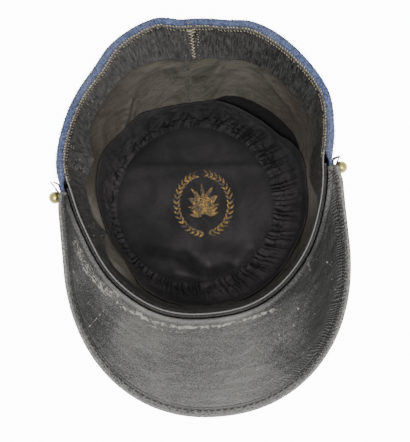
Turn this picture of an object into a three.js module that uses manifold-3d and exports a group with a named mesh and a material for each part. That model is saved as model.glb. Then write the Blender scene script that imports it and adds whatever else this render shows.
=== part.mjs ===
// A kepi cap that lies on the flat top of its crown, with its opening up and its peak towards -Y.
// The origin is the middle of the top's outer face. Lengths are in millimetres, and +Z is up.
// Angles go round the cap in degrees: 0 is the back, 90 is +X and 180 is the front.
import * as THREE from "three";
import Module from "manifold-3d";
import { mergeVertices } from "three/addons/utils/BufferGeometryUtils.js";

const wasm = await Module();
wasm.setup();

// The crown: a cloth wall that widens from its round top to an oval opening.
const TOP_RADIUS = 70;
const OPENING_HALF_WIDTH = 84.5;
const OPENING_HALF_LENGTH = 92;
const OPENING_SET_BACK = 20;
const OPENING_SET_ASIDE = -2.8;
const FRONT_HEIGHT = 80;
const BACK_HEIGHT = 110;
const WALL_THICKNESS = 2.2;
const WALL_FULLNESS = 1.5;
const TOP_THICKNESS = 2.2;
const RIM_ROLL = 5.6;
const RIM_ROLL_DEPTH = 3;

// The leather sweatband inside the opening.
const SWEATBAND_DEPTH = 39;
const SWEATBAND_THICKNESS = 1.2;
const SWEATBAND_STAND = 0.6;

// The three pieces of lining.
const LINING_THICKNESS = 1;
const LINING_OVERLAP = 10;
const SIDE_LINING_EDGE_HEIGHT = 16;
const HEM_HEIGHT = 29;
const TIP_RADIUS = 58.2;
const TIP_SHIFT_X = -7;
const TIP_SHIFT_Y = 1;
const GATHER_HEIGHT = 9.5;
const GATHER_FOOT_SHARE = 0.55;
const GATHER_DEPTH = 1.2;
const GATHER_PITCH = 6.4;

// The leather peak and the binding round its edge.
const PEAK_THICKNESS = 2.5;
const PEAK_HALF_WIDTH = 89.2;
const PEAK_SET_ASIDE = 0.6;
const PEAK_REACH = 60.8;
const PEAK_FULLNESS_SET_BACK = 102;
const PEAK_ROUNDNESS = 2.15;
const PEAK_SLOPE_FRONT = 29;
const PEAK_SLOPE_SIDE = 52;
const PEAK_ARCH = 0.14;
const PEAK_END_ANGLE = 87;
const PEAK_SEAM_GROOVE = 2;
const BINDING_WIDTH = 4.8;
const BINDING_THICKNESS = 3.6;
const BINDING_SHARE_MOST = 0.45;

// The chin strap and the two buttons that hold its ends.
const STRAP_WIDTH = 12;
const STRAP_THICKNESS = 1.5;
const STRAP_BELOW_RIM = 5.5;
const STRAP_TAB = 8;
const STRAP_TAB_FLARE = 4;
const BUTTON_ANGLE = 91.3;
const BUTTON_BALL_RADIUS = 3.6;
const BUTTON_FLANGE_RADIUS = 2.7;
const BUTTON_FLANGE_THICKNESS = 0.8;
const BUTTON_NECK_RADIUS = 1.4;
const BUTTON_NECK_LENGTH = 0.9;

// Pieces that are sewn together lie this far apart, and pieces that hang or lie loosely this far.
const CLEARANCE = 0.35;
const LOOSE_CLEARANCE = 0.6;

// The outline of the worn opening. Radius is a share of the plain oval's, and lift is a share of the back height.
const OPENING_SHAPE = [
  { at: 0, radius: 0.984, lift: 0 },
  { at: 15, radius: 0.998, lift: 0 },
  { at: 27, radius: 1.048, lift: 0.005 },
  { at: 45, radius: 1.066, lift: 0 },
  { at: 62, radius: 1.082, lift: -0.005 },
  { at: 76, radius: 1.024, lift: 0 },
  { at: 92, radius: 0.957, lift: 0.005 },
  { at: 110, radius: 0.961, lift: 0 },
  { at: 135, radius: 0.992, lift: 0 },
  { at: 160, radius: 1.012, lift: 0 },
  { at: 180, radius: 1.0, lift: 0 },
  { at: 200, radius: 1.012, lift: 0 },
  { at: 222, radius: 0.993, lift: 0 },
  { at: 248, radius: 0.955, lift: 0 },
  { at: 264, radius: 0.967, lift: 0.005 },
  { at: 280, radius: 1.01, lift: 0 },
  { at: 300, radius: 0.996, lift: -0.005 },
  { at: 320, radius: 0.976, lift: 0 },
  { at: 333, radius: 1.014, lift: 0.005 },
  { at: 349, radius: 1.03, lift: 0 },
];

// How the sweatband hangs. Depth is a share of its depth, and sag is how far its free edge leans in, as a share of it too.
const SWEATBAND_HANG = [
  { at: 0, depth: 0.98, sag: 0.0 },
  { at: 20, depth: 0.97, sag: 0.0 },
  { at: 40, depth: 0.88, sag: 0.0 },
  { at: 66, depth: 0.82, sag: 0.0 },
  { at: 84, depth: 0.85, sag: 0.06 },
  { at: 100, depth: 0.93, sag: 0.02 },
  { at: 125, depth: 1.0, sag: 0.03 },
  { at: 180, depth: 1.0, sag: 0.0 },
  { at: 225, depth: 1.0, sag: 0.04 },
  { at: 240, depth: 1.06, sag: 0.13 },
  { at: 254, depth: 0.98, sag: 0.05 },
  { at: 272, depth: 0.96, sag: 0.15 },
  { at: 286, depth: 0.93, sag: 0.07 },
  { at: 308, depth: 0.8, sag: 0.0 },
  { at: 325, depth: 0.84, sag: 0.0 },
  { at: 342, depth: 0.96, sag: 0.0 },
];

// The side lining's free edge. Height is a share of its edge height, and billow a share of the overlap that it leans in by.
const SIDE_LINING_HANG = [
  { at: 0, height: 1.0, billow: 0 },
  { at: 24, height: 1.2, billow: 0 },
  { at: 40, height: 1.7, billow: 0.03 },
  { at: 52, height: 1.85, billow: 0.03 },
  { at: 66, height: 1.6, billow: 0.02 },
  { at: 80, height: 1.1, billow: 0 },
  { at: 180, height: 1.0, billow: 0 },
  { at: 300, height: 1.0, billow: 0 },
];

// The gathered lining's hem. Height is a share of the hem height, and fall a share of it that the hem has come away by.
const HEM_HANG = [
  { at: 0, height: 0.66, fall: 0 },
  { at: 22, height: 0.62, fall: 0 },
  { at: 38, height: 0.64, fall: 0.13 },
  { at: 52, height: 0.66, fall: 0.17 },
  { at: 66, height: 0.7, fall: 0.08 },
  { at: 80, height: 0.75, fall: 0 },
  { at: 105, height: 0.8, fall: 0 },
  { at: 130, height: 1.0, fall: 0 },
  { at: 160, height: 1.2, fall: 0 },
  { at: 200, height: 1.2, fall: 0 },
  { at: 235, height: 0.95, fall: 0 },
  { at: 270, height: 0.75, fall: 0 },
  { at: 310, height: 0.8, fall: 0 },
];

// Soft folds in the round of the lining, each along a line. Places are shares of its radius and rise of the gather height.
const TIP_FOLDS = [
  { fromX: -0.85, fromY: 0.42, toX: 0.85, toY: 0.56, width: 0.09, rise: -0.22 },
  { fromX: -0.8, fromY: 0.62, toX: 0.7, toY: 0.74, width: 0.13, rise: 0.14 },
  { fromX: -0.5, fromY: -0.4, toX: -0.1, toY: -0.78, width: 0.1, rise: -0.2 },
  { fromX: -0.12, fromY: -0.6, toX: 0.35, toY: -0.85, width: 0.1, rise: 0.2 },
  { fromX: 0.1, fromY: -0.45, toX: 0.5, toY: -0.75, width: 0.1, rise: -0.16 },
];

const STEPS_ROUND = 64;
const STEPS_DOWN = 4;
const STEPS_PEAK = 44;
const STEPS_PEAK_OUT = 6;
const STEPS_TIP = 40;
const RINGS_TIP = 6;
const BUTTON_SIDES = 14;
const HOLE_SIDES = 10;
const SMALL_TURN = 0.5;

const PLEATS = Math.round((2 * Math.PI * TIP_RADIUS) / GATHER_PITCH);

const sine = (angle) => Math.sin(THREE.MathUtils.degToRad(angle));
const cosine = (angle) => Math.cos(THREE.MathUtils.degToRad(angle));
const tangent = (angle) => Math.tan(THREE.MathUtils.degToRad(angle));
const mix = THREE.MathUtils.lerp;
const range = (count, start = 0, end = 1) =>
  Array.from({ length: count + 1 }, (_, i) => mix(start, end, i / count));
const turn = (angle) => ((angle % 360) + 360) % 360;

// How far an angle is from the front, from 0 at the front to 180 at the back.
const fromFront = (angle) => Math.abs(turn(angle) - 180);

// A smooth value at an angle, from a table whose rows go once round. It never leaves the range of the rows beside it.
function around(rows, column, angle) {
  const at = turn(angle);
  const count = rows.length;
  const i = rows.findLastIndex((row) => row.at <= at);
  const row = (k) => rows[(i + k + count) % count];
  const span = (a, b) => turn(b.at - a.at);
  const slope = (a, b) => (b[column] - a[column]) / span(a, b);
  const blend = (a, b) => (a * b > 0 ? (2 * a * b) / (a + b) : 0);
  const length = span(row(0), row(1));
  const share = (at - row(0).at) / length;
  const start = blend(slope(row(-1), row(0)), slope(row(0), row(1))) * length;
  const end = blend(slope(row(0), row(1)), slope(row(1), row(2))) * length;
  const [s2, s3] = [share ** 2, share ** 3];
  return (
    (2 * s3 - 3 * s2 + 1) * row(0)[column] +
    (s3 - 2 * s2 + share) * start +
    (3 * s2 - 2 * s3) * row(1)[column] +
    (s3 - s2) * end
  );
}

// The opening's sewn edge in plan.
function openingPoint(angle) {
  const oval = 1 / Math.hypot(sine(angle) / OPENING_HALF_WIDTH, cosine(angle) / OPENING_HALF_LENGTH);
  const radius = oval * around(OPENING_SHAPE, "radius", angle);
  return new THREE.Vector2(sine(angle) * radius + OPENING_SET_ASIDE, cosine(angle) * radius + OPENING_SET_BACK);
}

// The sewn edge moved outwards in plan by a distance.
function openingOutside(angle, outward) {
  const along = openingPoint(angle + SMALL_TURN).sub(openingPoint(angle - SMALL_TURN)).normalize();
  return openingPoint(angle).add(new THREE.Vector2(-along.y, along.x).multiplyScalar(outward));
}

// The rim's height, which rises from the front of the opening to its back.
function rimHeight(angle) {
  const share = (openingPoint(angle).y - OPENING_SET_BACK) / (2 * OPENING_HALF_LENGTH) + 0.5;
  return mix(FRONT_HEIGHT, BACK_HEIGHT, share) + around(OPENING_SHAPE, "lift", angle) * BACK_HEIGHT;
}

// A point of the wall's outer face. Share is 0 at the top's plane and 1 at the rim.
function wallFace(angle, share) {
  const foot = new THREE.Vector2(sine(angle), cosine(angle)).multiplyScalar(TOP_RADIUS);
  const bulge = WALL_FULLNESS * Math.sin(Math.PI * Math.min(Math.max(share, 0), 1));
  const rim = openingOutside(angle, RIM_ROLL);
  const plan = foot.clone().lerp(rim, share).add(foot.clone().setLength(bulge));
  return new THREE.Vector3(plan.x, plan.y, rimHeight(angle) * share);
}

// The wall's outward normal.
function wallNormal(angle, share) {
  const step = 0.01;
  const round = wallFace(angle + SMALL_TURN, share).sub(wallFace(angle - SMALL_TURN, share));
  const up = wallFace(angle, share + step).sub(wallFace(angle, share - step));
  return up.cross(round).normalize();
}

// A point inside the wall's outer face by an inset. A negative inset lies outside it.
function wallPoint(angle, share, inset) {
  return wallFace(angle, share).addScaledVector(wallNormal(angle, share), -inset);
}

// The share of the wall's height that a depth below the rim comes to, and that a height above the floor comes to.
const wallSlant = (angle) => wallFace(angle, 1).distanceTo(wallFace(angle, 0));
const shareAtDepth = (angle, depth) => 1 - depth / wallSlant(angle);
const shareAtHeight = (angle, height) => height / rimHeight(angle);

// 1 where the rim is rolled in at the back and sides, and 0 where the peak is sewn on.
const rolled = (angle) => THREE.MathUtils.smoothstep(fromFront(angle), PEAK_END_ANGLE + 3, PEAK_END_ANGLE + 9);

// The slope at which the peak leaves its seam.
const peakSlope = (angle) =>
  mix(PEAK_SLOPE_FRONT, PEAK_SLOPE_SIDE, THREE.MathUtils.smoothstep(fromFront(angle), 0, PEAK_END_ANGLE));

// How far the wall stops short of the rim, so that the peak's lower face clears the middle of its edge.
function peakDrop(angle) {
  const slope = peakSlope(angle);
  const out = RIM_ROLL - WALL_THICKNESS / 2 - PEAK_SEAM_GROOVE - PEAK_THICKNESS * sine(slope);
  const under = out * tangent(slope) - PEAK_THICKNESS * cosine(slope);
  return Math.max(LOOSE_CLEARANCE / cosine(slope) - under, 0) * (1 - rolled(angle));
}

// A BufferGeometry from points and triangles, turned so that its faces point out.
function geometryOf(points, triangles) {
  const volume = triangles.reduce((sum, [a, b, c]) => {
    return sum + points[a].dot(new THREE.Vector3().crossVectors(points[b], points[c]));
  }, 0);
  const faces = volume < 0 ? triangles.map(([a, b, c]) => [a, c, b]) : triangles;
  const geometry = new THREE.BufferGeometry().setFromPoints(points);
  geometry.setIndex(faces.flat());
  geometry.computeVertexNormals();
  return geometry;
}

// A skin through sections, each a face line and a back line of equally many points. It closes on itself or has two ends.
function skin(sections, closes) {
  const points = sections.flatMap(({ face, back }) => [...face, ...back.toReversed()]);
  const size = 2 * sections[0].face.length;
  const triangles = [];
  const quad = (a, b, c, d) => triangles.push([a, b, c], [a, c, d]);
  const joins = closes ? sections.length : sections.length - 1;
  for (let i = 0; i < joins; i++) {
    const [here, next] = [i * size, ((i + 1) % sections.length) * size];
    for (let j = 0; j < size; j++) {
      const k = (j + 1) % size;
      quad(here + j, here + k, next + k, next + j);
    }
  }
  for (const [start, flip] of closes ? [] : [[0, false], [(sections.length - 1) * size, true]]) {
    for (let j = 0; j < size / 2 - 1; j++) {
      const corners = [start + j, start + size - 1 - j, start + size - 2 - j, start + j + 1];
      quad(...(flip ? corners.toReversed() : corners));
    }
  }
  return geometryOf(points, triangles);
}

// A round plate whose two faces are given by height functions of a place on it.
function plate(radius, rings, steps, topHeight, bottomHeight, centre = new THREE.Vector2()) {
  const place = (r, i) => {
    const at = new THREE.Vector2(sine((360 * i) / steps), cosine((360 * i) / steps));
    return at.multiplyScalar(r).add(centre);
  };
  const points = [];
  const triangles = [];
  for (const height of [topHeight, bottomHeight]) {
    const first = points.length;
    points.push(new THREE.Vector3(centre.x, centre.y, height(centre.x, centre.y)));
    for (let k = 1; k <= rings; k++) {
      for (let i = 0; i < steps; i++) {
        const p = place((radius * k) / rings, i);
        points.push(new THREE.Vector3(p.x, p.y, height(p.x, p.y)));
      }
    }
    const flip = height === bottomHeight;
    const add = (a, b, c) => triangles.push(flip ? [a, c, b] : [a, b, c]);
    for (let i = 0; i < steps; i++) {
      const j = (i + 1) % steps;
      add(first, first + 1 + i, first + 1 + j);
      for (let k = 0; k < rings - 1; k++) {
        const [inner, outer] = [first + 1 + k * steps, first + 1 + (k + 1) * steps];
        add(inner + i, outer + i, outer + j);
        add(inner + i, outer + j, inner + j);
      }
    }
  }
  const half = points.length / 2;
  for (let i = 0; i < steps; i++) {
    const j = (i + 1) % steps;
    const rim = 1 + (rings - 1) * steps;
    triangles.push([rim + i, half + rim + i, half + rim + j], [rim + i, half + rim + j, rim + j]);
  }
  return geometryOf(points, triangles);
}

// The wall's lower edge, its two faces and the rolled rim, as one section at an angle.
function crownWallSection(angle) {
  const drop = peakDrop(angle);
  const width = mix(WALL_THICKNESS, RIM_ROLL, rolled(angle));
  const at = (depth, inset) => wallPoint(angle, shareAtDepth(angle, depth + drop), inset);
  const low = (share, inset) => wallPoint(angle, share, inset);
  const edge = TOP_THICKNESS * 0.5;
  const face = [
    low(shareAtHeight(angle, 0.3), edge),
    low(shareAtHeight(angle, edge), 0),
    low(0.33, 0),
    low(0.66, 0),
    at(RIM_ROLL_DEPTH * 0.6, 0),
    at(RIM_ROLL_DEPTH * 0.15, width * 0.2),
    at(0, width * 0.5),
  ];
  const back = [
    low(shareAtHeight(angle, 0.6), WALL_THICKNESS),
    low(0.2, WALL_THICKNESS),
    low(0.5, WALL_THICKNESS),
    low(0.75, WALL_THICKNESS),
    at(RIM_ROLL_DEPTH * 1.5, WALL_THICKNESS),
    at(RIM_ROLL_DEPTH, width),
    at(RIM_ROLL_DEPTH * 0.25, width * 0.92),
  ];
  return { face, back };
}

// The sweatband hangs from the rolled rim and leans in where it has come loose.
function sweatbandSection(angle) {
  const depth = SWEATBAND_DEPTH * around(SWEATBAND_HANG, "depth", angle);
  const sag = SWEATBAND_DEPTH * around(SWEATBAND_HANG, "sag", angle);
  const line = (inset) =>
    range(STEPS_DOWN).map((s) => {
      const lean = sag * THREE.MathUtils.smoothstep(s, 0.3, 1);
      return wallPoint(angle, shareAtDepth(angle, mix(-SWEATBAND_STAND, depth, s)), inset + lean);
    });
  const outer = RIM_ROLL + CLEARANCE;
  return { face: line(outer), back: line(outer + SWEATBAND_THICKNESS) };
}

// The side lining comes out from behind the sweatband and ends in a free edge.
function sideLiningSection(angle) {
  const depth = SWEATBAND_DEPTH * around(SWEATBAND_HANG, "depth", angle) - LINING_OVERLAP;
  const top = shareAtDepth(angle, depth);
  const edge = shareAtHeight(angle, SIDE_LINING_EDGE_HEIGHT * around(SIDE_LINING_HANG, "height", angle));
  const billow = LINING_OVERLAP * around(SIDE_LINING_HANG, "billow", angle);
  const outer = WALL_THICKNESS + LOOSE_CLEARANCE;
  const line = (inset) =>
    range(STEPS_DOWN).map((s) => {
      return wallPoint(angle, mix(top, edge, s), inset + billow * THREE.MathUtils.smoothstep(s, 0.3, 1));
    });
  return { face: line(outer), back: line(outer + LINING_THICKNESS) };
}

// The gathered lining runs from its hem down the side lining and in to the round, where its pleats are drawn together.
function gatheredSection(angle) {
  const hemHeight = HEM_HEIGHT * around(HEM_HANG, "height", angle);
  const fall = HEM_HEIGHT * around(HEM_HANG, "fall", angle);
  const outer = WALL_THICKNESS + LINING_THICKNESS + 2 * LOOSE_CLEARANCE;
  const hung = (height, away) => wallPoint(angle, shareAtHeight(angle, height), outer + away);
  const inner = new THREE.Vector3(TIP_SHIFT_X, TIP_SHIFT_Y, GATHER_HEIGHT);
  inner.add(new THREE.Vector3(sine(angle), cosine(angle), 0).multiplyScalar(TIP_RADIUS));
  const foot = hung(GATHER_HEIGHT, 0).lerp(inner, GATHER_FOOT_SHARE);
  foot.z = GATHER_HEIGHT * 0.75;
  const wave = GATHER_DEPTH * cosine(angle * PLEATS);
  const lift = (p, share) => p.clone().add(new THREE.Vector3(0, 0, wave * share));
  const inwards = wallNormal(angle, 0.3).multiplyScalar(-LINING_THICKNESS);
  const upwards = new THREE.Vector3(0, 0, LINING_THICKNESS);
  const between = inwards.clone().add(upwards).setLength(LINING_THICKNESS);
  const tuck = hung(mix(GATHER_HEIGHT, hemHeight, 0.35), fall * 0.7);
  const face = [hung(hemHeight, fall), tuck, lift(foot, 0.7), lift(inner, 1)];
  const ways = [inwards, inwards, between, upwards];
  return { face, back: face.map((p, i) => p.clone().add(ways[i])) };
}

// The height of the round lining at a place, with its folds.
function tipHeight(x, y) {
  const at = new THREE.Vector2(x - TIP_SHIFT_X, y - TIP_SHIFT_Y).divideScalar(TIP_RADIUS);
  const rises = TIP_FOLDS.map((fold) => {
    const from = new THREE.Vector2(fold.fromX, fold.fromY);
    const along = new THREE.Vector2(fold.toX, fold.toY).sub(from);
    const share = THREE.MathUtils.clamp(at.clone().sub(from).dot(along) / along.lengthSq(), 0, 1);
    const off = at.distanceTo(from.addScaledVector(along, share));
    return fold.rise * Math.exp(-((off / fold.width) ** 2));
  });
  const edge = THREE.MathUtils.smoothstep(1 - at.length(), 0, 0.12);
  return GATHER_HEIGHT * (0.9 + edge * rises.reduce((sum, rise) => sum + rise, 0));
}

// Where the peak's edge lies in plan: how far out from the sewn edge at an angle.
const peakEdgeCentreY = OPENING_SET_BACK - OPENING_HALF_LENGTH - PEAK_REACH + PEAK_FULLNESS_SET_BACK;

function peakEdgeRadius(angle) {
  const outline = (r) => {
    const across = Math.abs(sine(angle) * r - PEAK_SET_ASIDE) / PEAK_HALF_WIDTH;
    const ahead = Math.max(peakEdgeCentreY - OPENING_SET_BACK - cosine(angle) * r, 0) / PEAK_FULLNESS_SET_BACK;
    return across ** PEAK_ROUNDNESS + ahead ** PEAK_ROUNDNESS;
  };
  let [low, high] = [0, 4 * PEAK_FULLNESS_SET_BACK];
  for (let i = 0; i < 40; i++) {
    const middle = (low + high) / 2;
    if (outline(middle) < 1) low = middle;
    else high = middle;
  }
  return low;
}

// A point on the peak's underside. Share is 0 at the seam and 1 at the edge.
function peakFace(angle, share) {
  const seam = openingOutside(angle, PEAK_SEAM_GROOVE);
  const edge = new THREE.Vector2(sine(angle), cosine(angle)).multiplyScalar(peakEdgeRadius(angle));
  edge.add(new THREE.Vector2(OPENING_SET_ASIDE, OPENING_SET_BACK));
  const rise = seam.distanceTo(edge) * tangent(peakSlope(angle));
  const plan = seam.clone().lerp(edge, share);
  const height = rimHeight(angle) + rise * (share + PEAK_ARCH * share * (1 - share));
  return new THREE.Vector3(plan.x, plan.y, height);
}

// A point below the peak's underside by a thickness.
function peakPoint(angle, share, below) {
  const step = 0.02;
  const out = peakFace(angle, share + step).sub(peakFace(angle, share - step));
  const round = peakFace(angle + SMALL_TURN, share).sub(peakFace(angle - SMALL_TURN, share));
  const down = out.cross(round).normalize();
  if (down.z > 0) down.negate();
  return peakFace(angle, share).addScaledVector(down, below);
}

const peakLength = (angle) => peakFace(angle, 0).distanceTo(peakFace(angle, 1));
const bindingShare = (angle) => Math.min(BINDING_WIDTH / peakLength(angle), BINDING_SHARE_MOST);

function peakSection(angle) {
  const end = 1 - bindingShare(angle) - CLEARANCE / peakLength(angle);
  const line = (below) => range(STEPS_PEAK_OUT, 0, end).map((share) => peakPoint(angle, share, below));
  return { face: line(0), back: line(PEAK_THICKNESS) };
}

// The binding is a rounded strip that carries on the peak's edge.
function bindingSection(angle) {
  const start = 1 - bindingShare(angle);
  const middle = PEAK_THICKNESS / 2;
  const half = BINDING_THICKNESS / 2;
  const line = (side) =>
    [0, 0.3, 0.65, 0.9, 1].map((s) => {
      const thick = half * Math.sqrt(1 - 0.92 * s ** 4);
      return peakPoint(angle, mix(start, 1, s), middle + side * thick);
    });
  return { face: line(-1), back: line(1) };
}

// The chin strap lies on the crown round the front, with a tab past each button that stands off.
function strapSection(place) {
  const { angle, flare } = place;
  const line = (inset) =>
    range(2).map((s) => {
      const depth = mix(STRAP_BELOW_RIM, STRAP_BELOW_RIM + STRAP_WIDTH, s);
      return wallPoint(angle, shareAtDepth(angle, depth), inset - flare);
    });
  return { face: line(-CLEARANCE), back: line(-CLEARANCE - STRAP_THICKNESS) };
}

function strapPlaces() {
  const perDegree = openingPoint(BUTTON_ANGLE).distanceTo(openingPoint(BUTTON_ANGLE + 1));
  const tab = STRAP_TAB / perDegree;
  const front = range(STEPS_PEAK, BUTTON_ANGLE, 360 - BUTTON_ANGLE).map((angle) => ({ angle, flare: 0 }));
  const tabs = (end, way) =>
    [1, 0.75, 0.5].map((s) => ({ angle: end - way * tab * s, flare: STRAP_TAB_FLARE * (2 * s - 1) ** 2 }));
  return [...tabs(BUTTON_ANGLE, 1), ...front, ...tabs(360 - BUTTON_ANGLE, -1).toReversed()];
}

// A button's place: its seat on the strap and the way that it points.
function buttonSeat(angle) {
  const share = shareAtDepth(angle, STRAP_BELOW_RIM + STRAP_WIDTH / 2);
  const seat = wallPoint(angle, share, -2 * CLEARANCE - STRAP_THICKNESS);
  const turned = new THREE.Quaternion().setFromUnitVectors(new THREE.Vector3(0, 1, 0), wallNormal(angle, share));
  return { seat, turned };
}

// A button is a ball on a neck and a flange, with a post that goes through the strap and the wall.
function buttonGeometry() {
  const post = -(2 * CLEARANCE + STRAP_THICKNESS + WALL_THICKNESS + 0.4);
  const neck = BUTTON_FLANGE_THICKNESS + BUTTON_NECK_LENGTH;
  const ball = range(7, 0, 1).map((s) => {
    const start = Math.asin(BUTTON_NECK_RADIUS / BUTTON_BALL_RADIUS);
    const swing = mix(Math.PI - start, 0, s);
    const middle = neck + BUTTON_BALL_RADIUS * Math.cos(start);
    return new THREE.Vector2(
      s === 1 ? 0 : BUTTON_BALL_RADIUS * Math.sin(swing),
      middle + BUTTON_BALL_RADIUS * Math.cos(swing),
    );
  });
  const profile = [
    new THREE.Vector2(0, post),
    new THREE.Vector2(BUTTON_NECK_RADIUS, post),
    new THREE.Vector2(BUTTON_NECK_RADIUS, 0),
    new THREE.Vector2(BUTTON_FLANGE_RADIUS, 0),
    new THREE.Vector2(BUTTON_FLANGE_RADIUS, BUTTON_FLANGE_THICKNESS),
    ...ball,
  ];
  return new THREE.LatheGeometry(profile, BUTTON_SIDES);
}

// A geometry with holes for the two buttons' posts.
function withPostHoles(geometry) {
  const solid = (g) => {
    const bare = (g.index ? g.toNonIndexed() : g.clone()).deleteAttribute("normal").deleteAttribute("uv");
    const merged = mergeVertices(bare, 1e-4);
    const mesh = new wasm.Mesh({
      numProp: 3,
      vertProperties: merged.attributes.position.array,
      triVerts: new Uint32Array(merged.index.array),
    });
    return new wasm.Manifold(mesh);
  };
  let cut = solid(geometry);
  for (const angle of [BUTTON_ANGLE, 360 - BUTTON_ANGLE]) {
    const { seat, turned } = buttonSeat(angle);
    const drill = new THREE.CylinderGeometry(
      BUTTON_NECK_RADIUS + CLEARANCE,
      BUTTON_NECK_RADIUS + CLEARANCE,
      4 * (WALL_THICKNESS + STRAP_THICKNESS),
      HOLE_SIDES,
    );
    drill.applyQuaternion(turned).translate(seat.x, seat.y, seat.z);
    cut = cut.subtract(solid(drill));
  }
  const made = cut.getMesh();
  const geometryCut = new THREE.BufferGeometry();
  geometryCut.setAttribute("position", new THREE.BufferAttribute(made.vertProperties, 3));
  geometryCut.setIndex(new THREE.BufferAttribute(made.triVerts, 1));
  geometryCut.computeVertexNormals();
  return geometryCut;
}

const blueWool = new THREE.MeshStandardMaterial({ color: 0x34466f, roughness: 0.95, metalness: 0 });
const blackLeather = new THREE.MeshStandardMaterial({ color: 0x2c2c2b, roughness: 0.6, metalness: 0 });
const wornLeather = new THREE.MeshStandardMaterial({ color: 0x4a4a47, roughness: 0.5, metalness: 0 });
const brownCotton = new THREE.MeshStandardMaterial({ color: 0x4d4943, roughness: 0.9, metalness: 0 });
const blackCotton = new THREE.MeshStandardMaterial({ color: 0x222122, roughness: 0.8, metalness: 0 });
const brass = new THREE.MeshStandardMaterial({ color: 0xc9b26a, roughness: 0.25, metalness: 1 });

const kepi = new THREE.Group();

function add(name, geometry, material) {
  const mesh = new THREE.Mesh(geometry, material);
  mesh.name = name;
  kepi.add(mesh);
  return mesh;
}

const fullTurn = range(STEPS_ROUND, 0, 360).slice(0, -1);
const pleatTurn = range(PLEATS * 2, 0, 360).slice(0, -1);
const peakTurn = range(STEPS_PEAK, 180 - PEAK_END_ANGLE, 180 + PEAK_END_ANGLE);
const topPlateRadius = TOP_RADIUS - WALL_THICKNESS - CLEARANCE;

add("crown_wall", withPostHoles(skin(fullTurn.map(crownWallSection), true)), blueWool);
add("crown_top", plate(topPlateRadius, 3, STEPS_ROUND, () => TOP_THICKNESS, () => 0), blueWool);
add("sweatband", skin(fullTurn.map(sweatbandSection), true), blackLeather);
add("side_lining", skin(fullTurn.map(sideLiningSection), true), brownCotton);
add("gathered_lining", skin(pleatTurn.map(gatheredSection), true), blackCotton);
add(
  "tip_lining",
  plate(
    TIP_RADIUS - CLEARANCE,
    RINGS_TIP,
    STEPS_TIP,
    tipHeight,
    (x, y) => tipHeight(x, y) - LINING_THICKNESS,
    new THREE.Vector2(TIP_SHIFT_X, TIP_SHIFT_Y),
  ),
  blackCotton,
);
add("peak", skin(peakTurn.map(peakSection), false), wornLeather);
add("peak_binding", skin(peakTurn.map(bindingSection), false), wornLeather);
add("chin_strap", withPostHoles(skin(strapPlaces().map(strapSection), false)), blackLeather);
for (const [name, angle] of [["button_right", BUTTON_ANGLE], ["button_left", 360 - BUTTON_ANGLE]]) {
  const { seat, turned } = buttonSeat(angle);
  const button = add(name, buttonGeometry(), brass);
  button.position.copy(seat);
  button.quaternion.copy(turned);
}

export default kepi;
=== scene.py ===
"""A kepi cap that lies on its crown with its opening up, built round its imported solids."""

import math
import random

import bpy
import numpy as np
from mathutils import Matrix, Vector, noise


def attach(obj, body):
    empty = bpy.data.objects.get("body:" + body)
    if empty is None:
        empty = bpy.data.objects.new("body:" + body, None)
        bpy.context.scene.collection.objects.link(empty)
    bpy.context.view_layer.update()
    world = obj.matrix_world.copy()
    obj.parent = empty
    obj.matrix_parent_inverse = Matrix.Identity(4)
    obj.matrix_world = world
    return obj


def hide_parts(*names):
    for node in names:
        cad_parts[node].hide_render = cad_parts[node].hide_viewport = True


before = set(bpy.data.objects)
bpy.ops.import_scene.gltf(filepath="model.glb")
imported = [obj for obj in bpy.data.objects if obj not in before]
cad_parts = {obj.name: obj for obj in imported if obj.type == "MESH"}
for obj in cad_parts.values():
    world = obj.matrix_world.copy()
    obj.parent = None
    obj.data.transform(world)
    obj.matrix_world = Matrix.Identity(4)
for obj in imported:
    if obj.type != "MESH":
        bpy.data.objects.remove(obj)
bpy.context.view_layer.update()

bl_info = {
    "name": "Kepi Cap Maker",
    "version": (1, 0, 0),
    "blender": (4, 5, 0),
    "location": "View3D > Sidebar > Kepi",
    "description": "Builds a worn kepi cap with its leather, linings, stitches and buttons",
    "category": "Add Mesh",
}

MM = 0.001
FULL_TURN = 360.0

# The worn opening: angle, radius as a share of the plain oval's, and lift as a share of the back height.
OPENING_SHAPE = [
    (0, 0.984, 0), (15, 0.998, 0), (27, 1.048, 0.005), (45, 1.066, 0), (62, 1.082, -0.005),
    (76, 1.024, 0), (92, 0.957, 0.005), (110, 0.961, 0), (135, 0.992, 0), (160, 1.012, 0),
    (180, 1.0, 0), (200, 1.012, 0), (222, 0.993, 0), (248, 0.955, 0), (264, 0.967, 0.005),
    (280, 1.01, 0), (300, 0.996, -0.005), (320, 0.976, 0), (333, 1.014, 0.005), (349, 1.03, 0),
]

# How the sweatband hangs: angle, depth as a share of its own, and its edge's sag as a share of that depth.
SWEATBAND_HANG = [
    (0, 1.04, 0), (12, 0.95, 0), (23, 0.96, 0), (35, 0.92, 0), (46, 0.88, 0), (58, 0.87, 0),
    (68, 0.75, 0), (74, 0.7, 0), (78, 0.9, 0), (83, 1.08, 0), (89, 1.13, 0), (96, 0.91, 0),
    (105, 0.5, -0.04), (114, 0.42, -0.05), (122, 0.5, -0.05), (130, 0.97, -0.05), (136, 0.86, -0.05),
    (143, 0.55, -0.05), (151, 0.72, -0.05), (162, 0.94, -0.05), (174, 1.1, -0.05), (186, 1.1, -0.05),
    (201, 0.94, -0.05), (209, 0.88, -0.05), (214, 1.05, -0.05), (220, 0.9, -0.05), (228, 0.83, -0.05),
    (236, 0.7, -0.03), (247, 0.99, 0), (252, 1.26, 0.03),
    (256, 1.13, 0), (261, 0.96, 0), (269, 0.94, 0), (280, 1.1, 0.01), (286, 1.18, 0.04), (291, 1.2, 0.05),
    (296, 0.98, 0), (301, 0.73, 0), (307, 0.69, 0), (314, 0.67, 0), (324, 0.65, 0), (332, 0.78, 0),
    (342, 0.92, 0), (354, 1.05, 0),
]

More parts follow.
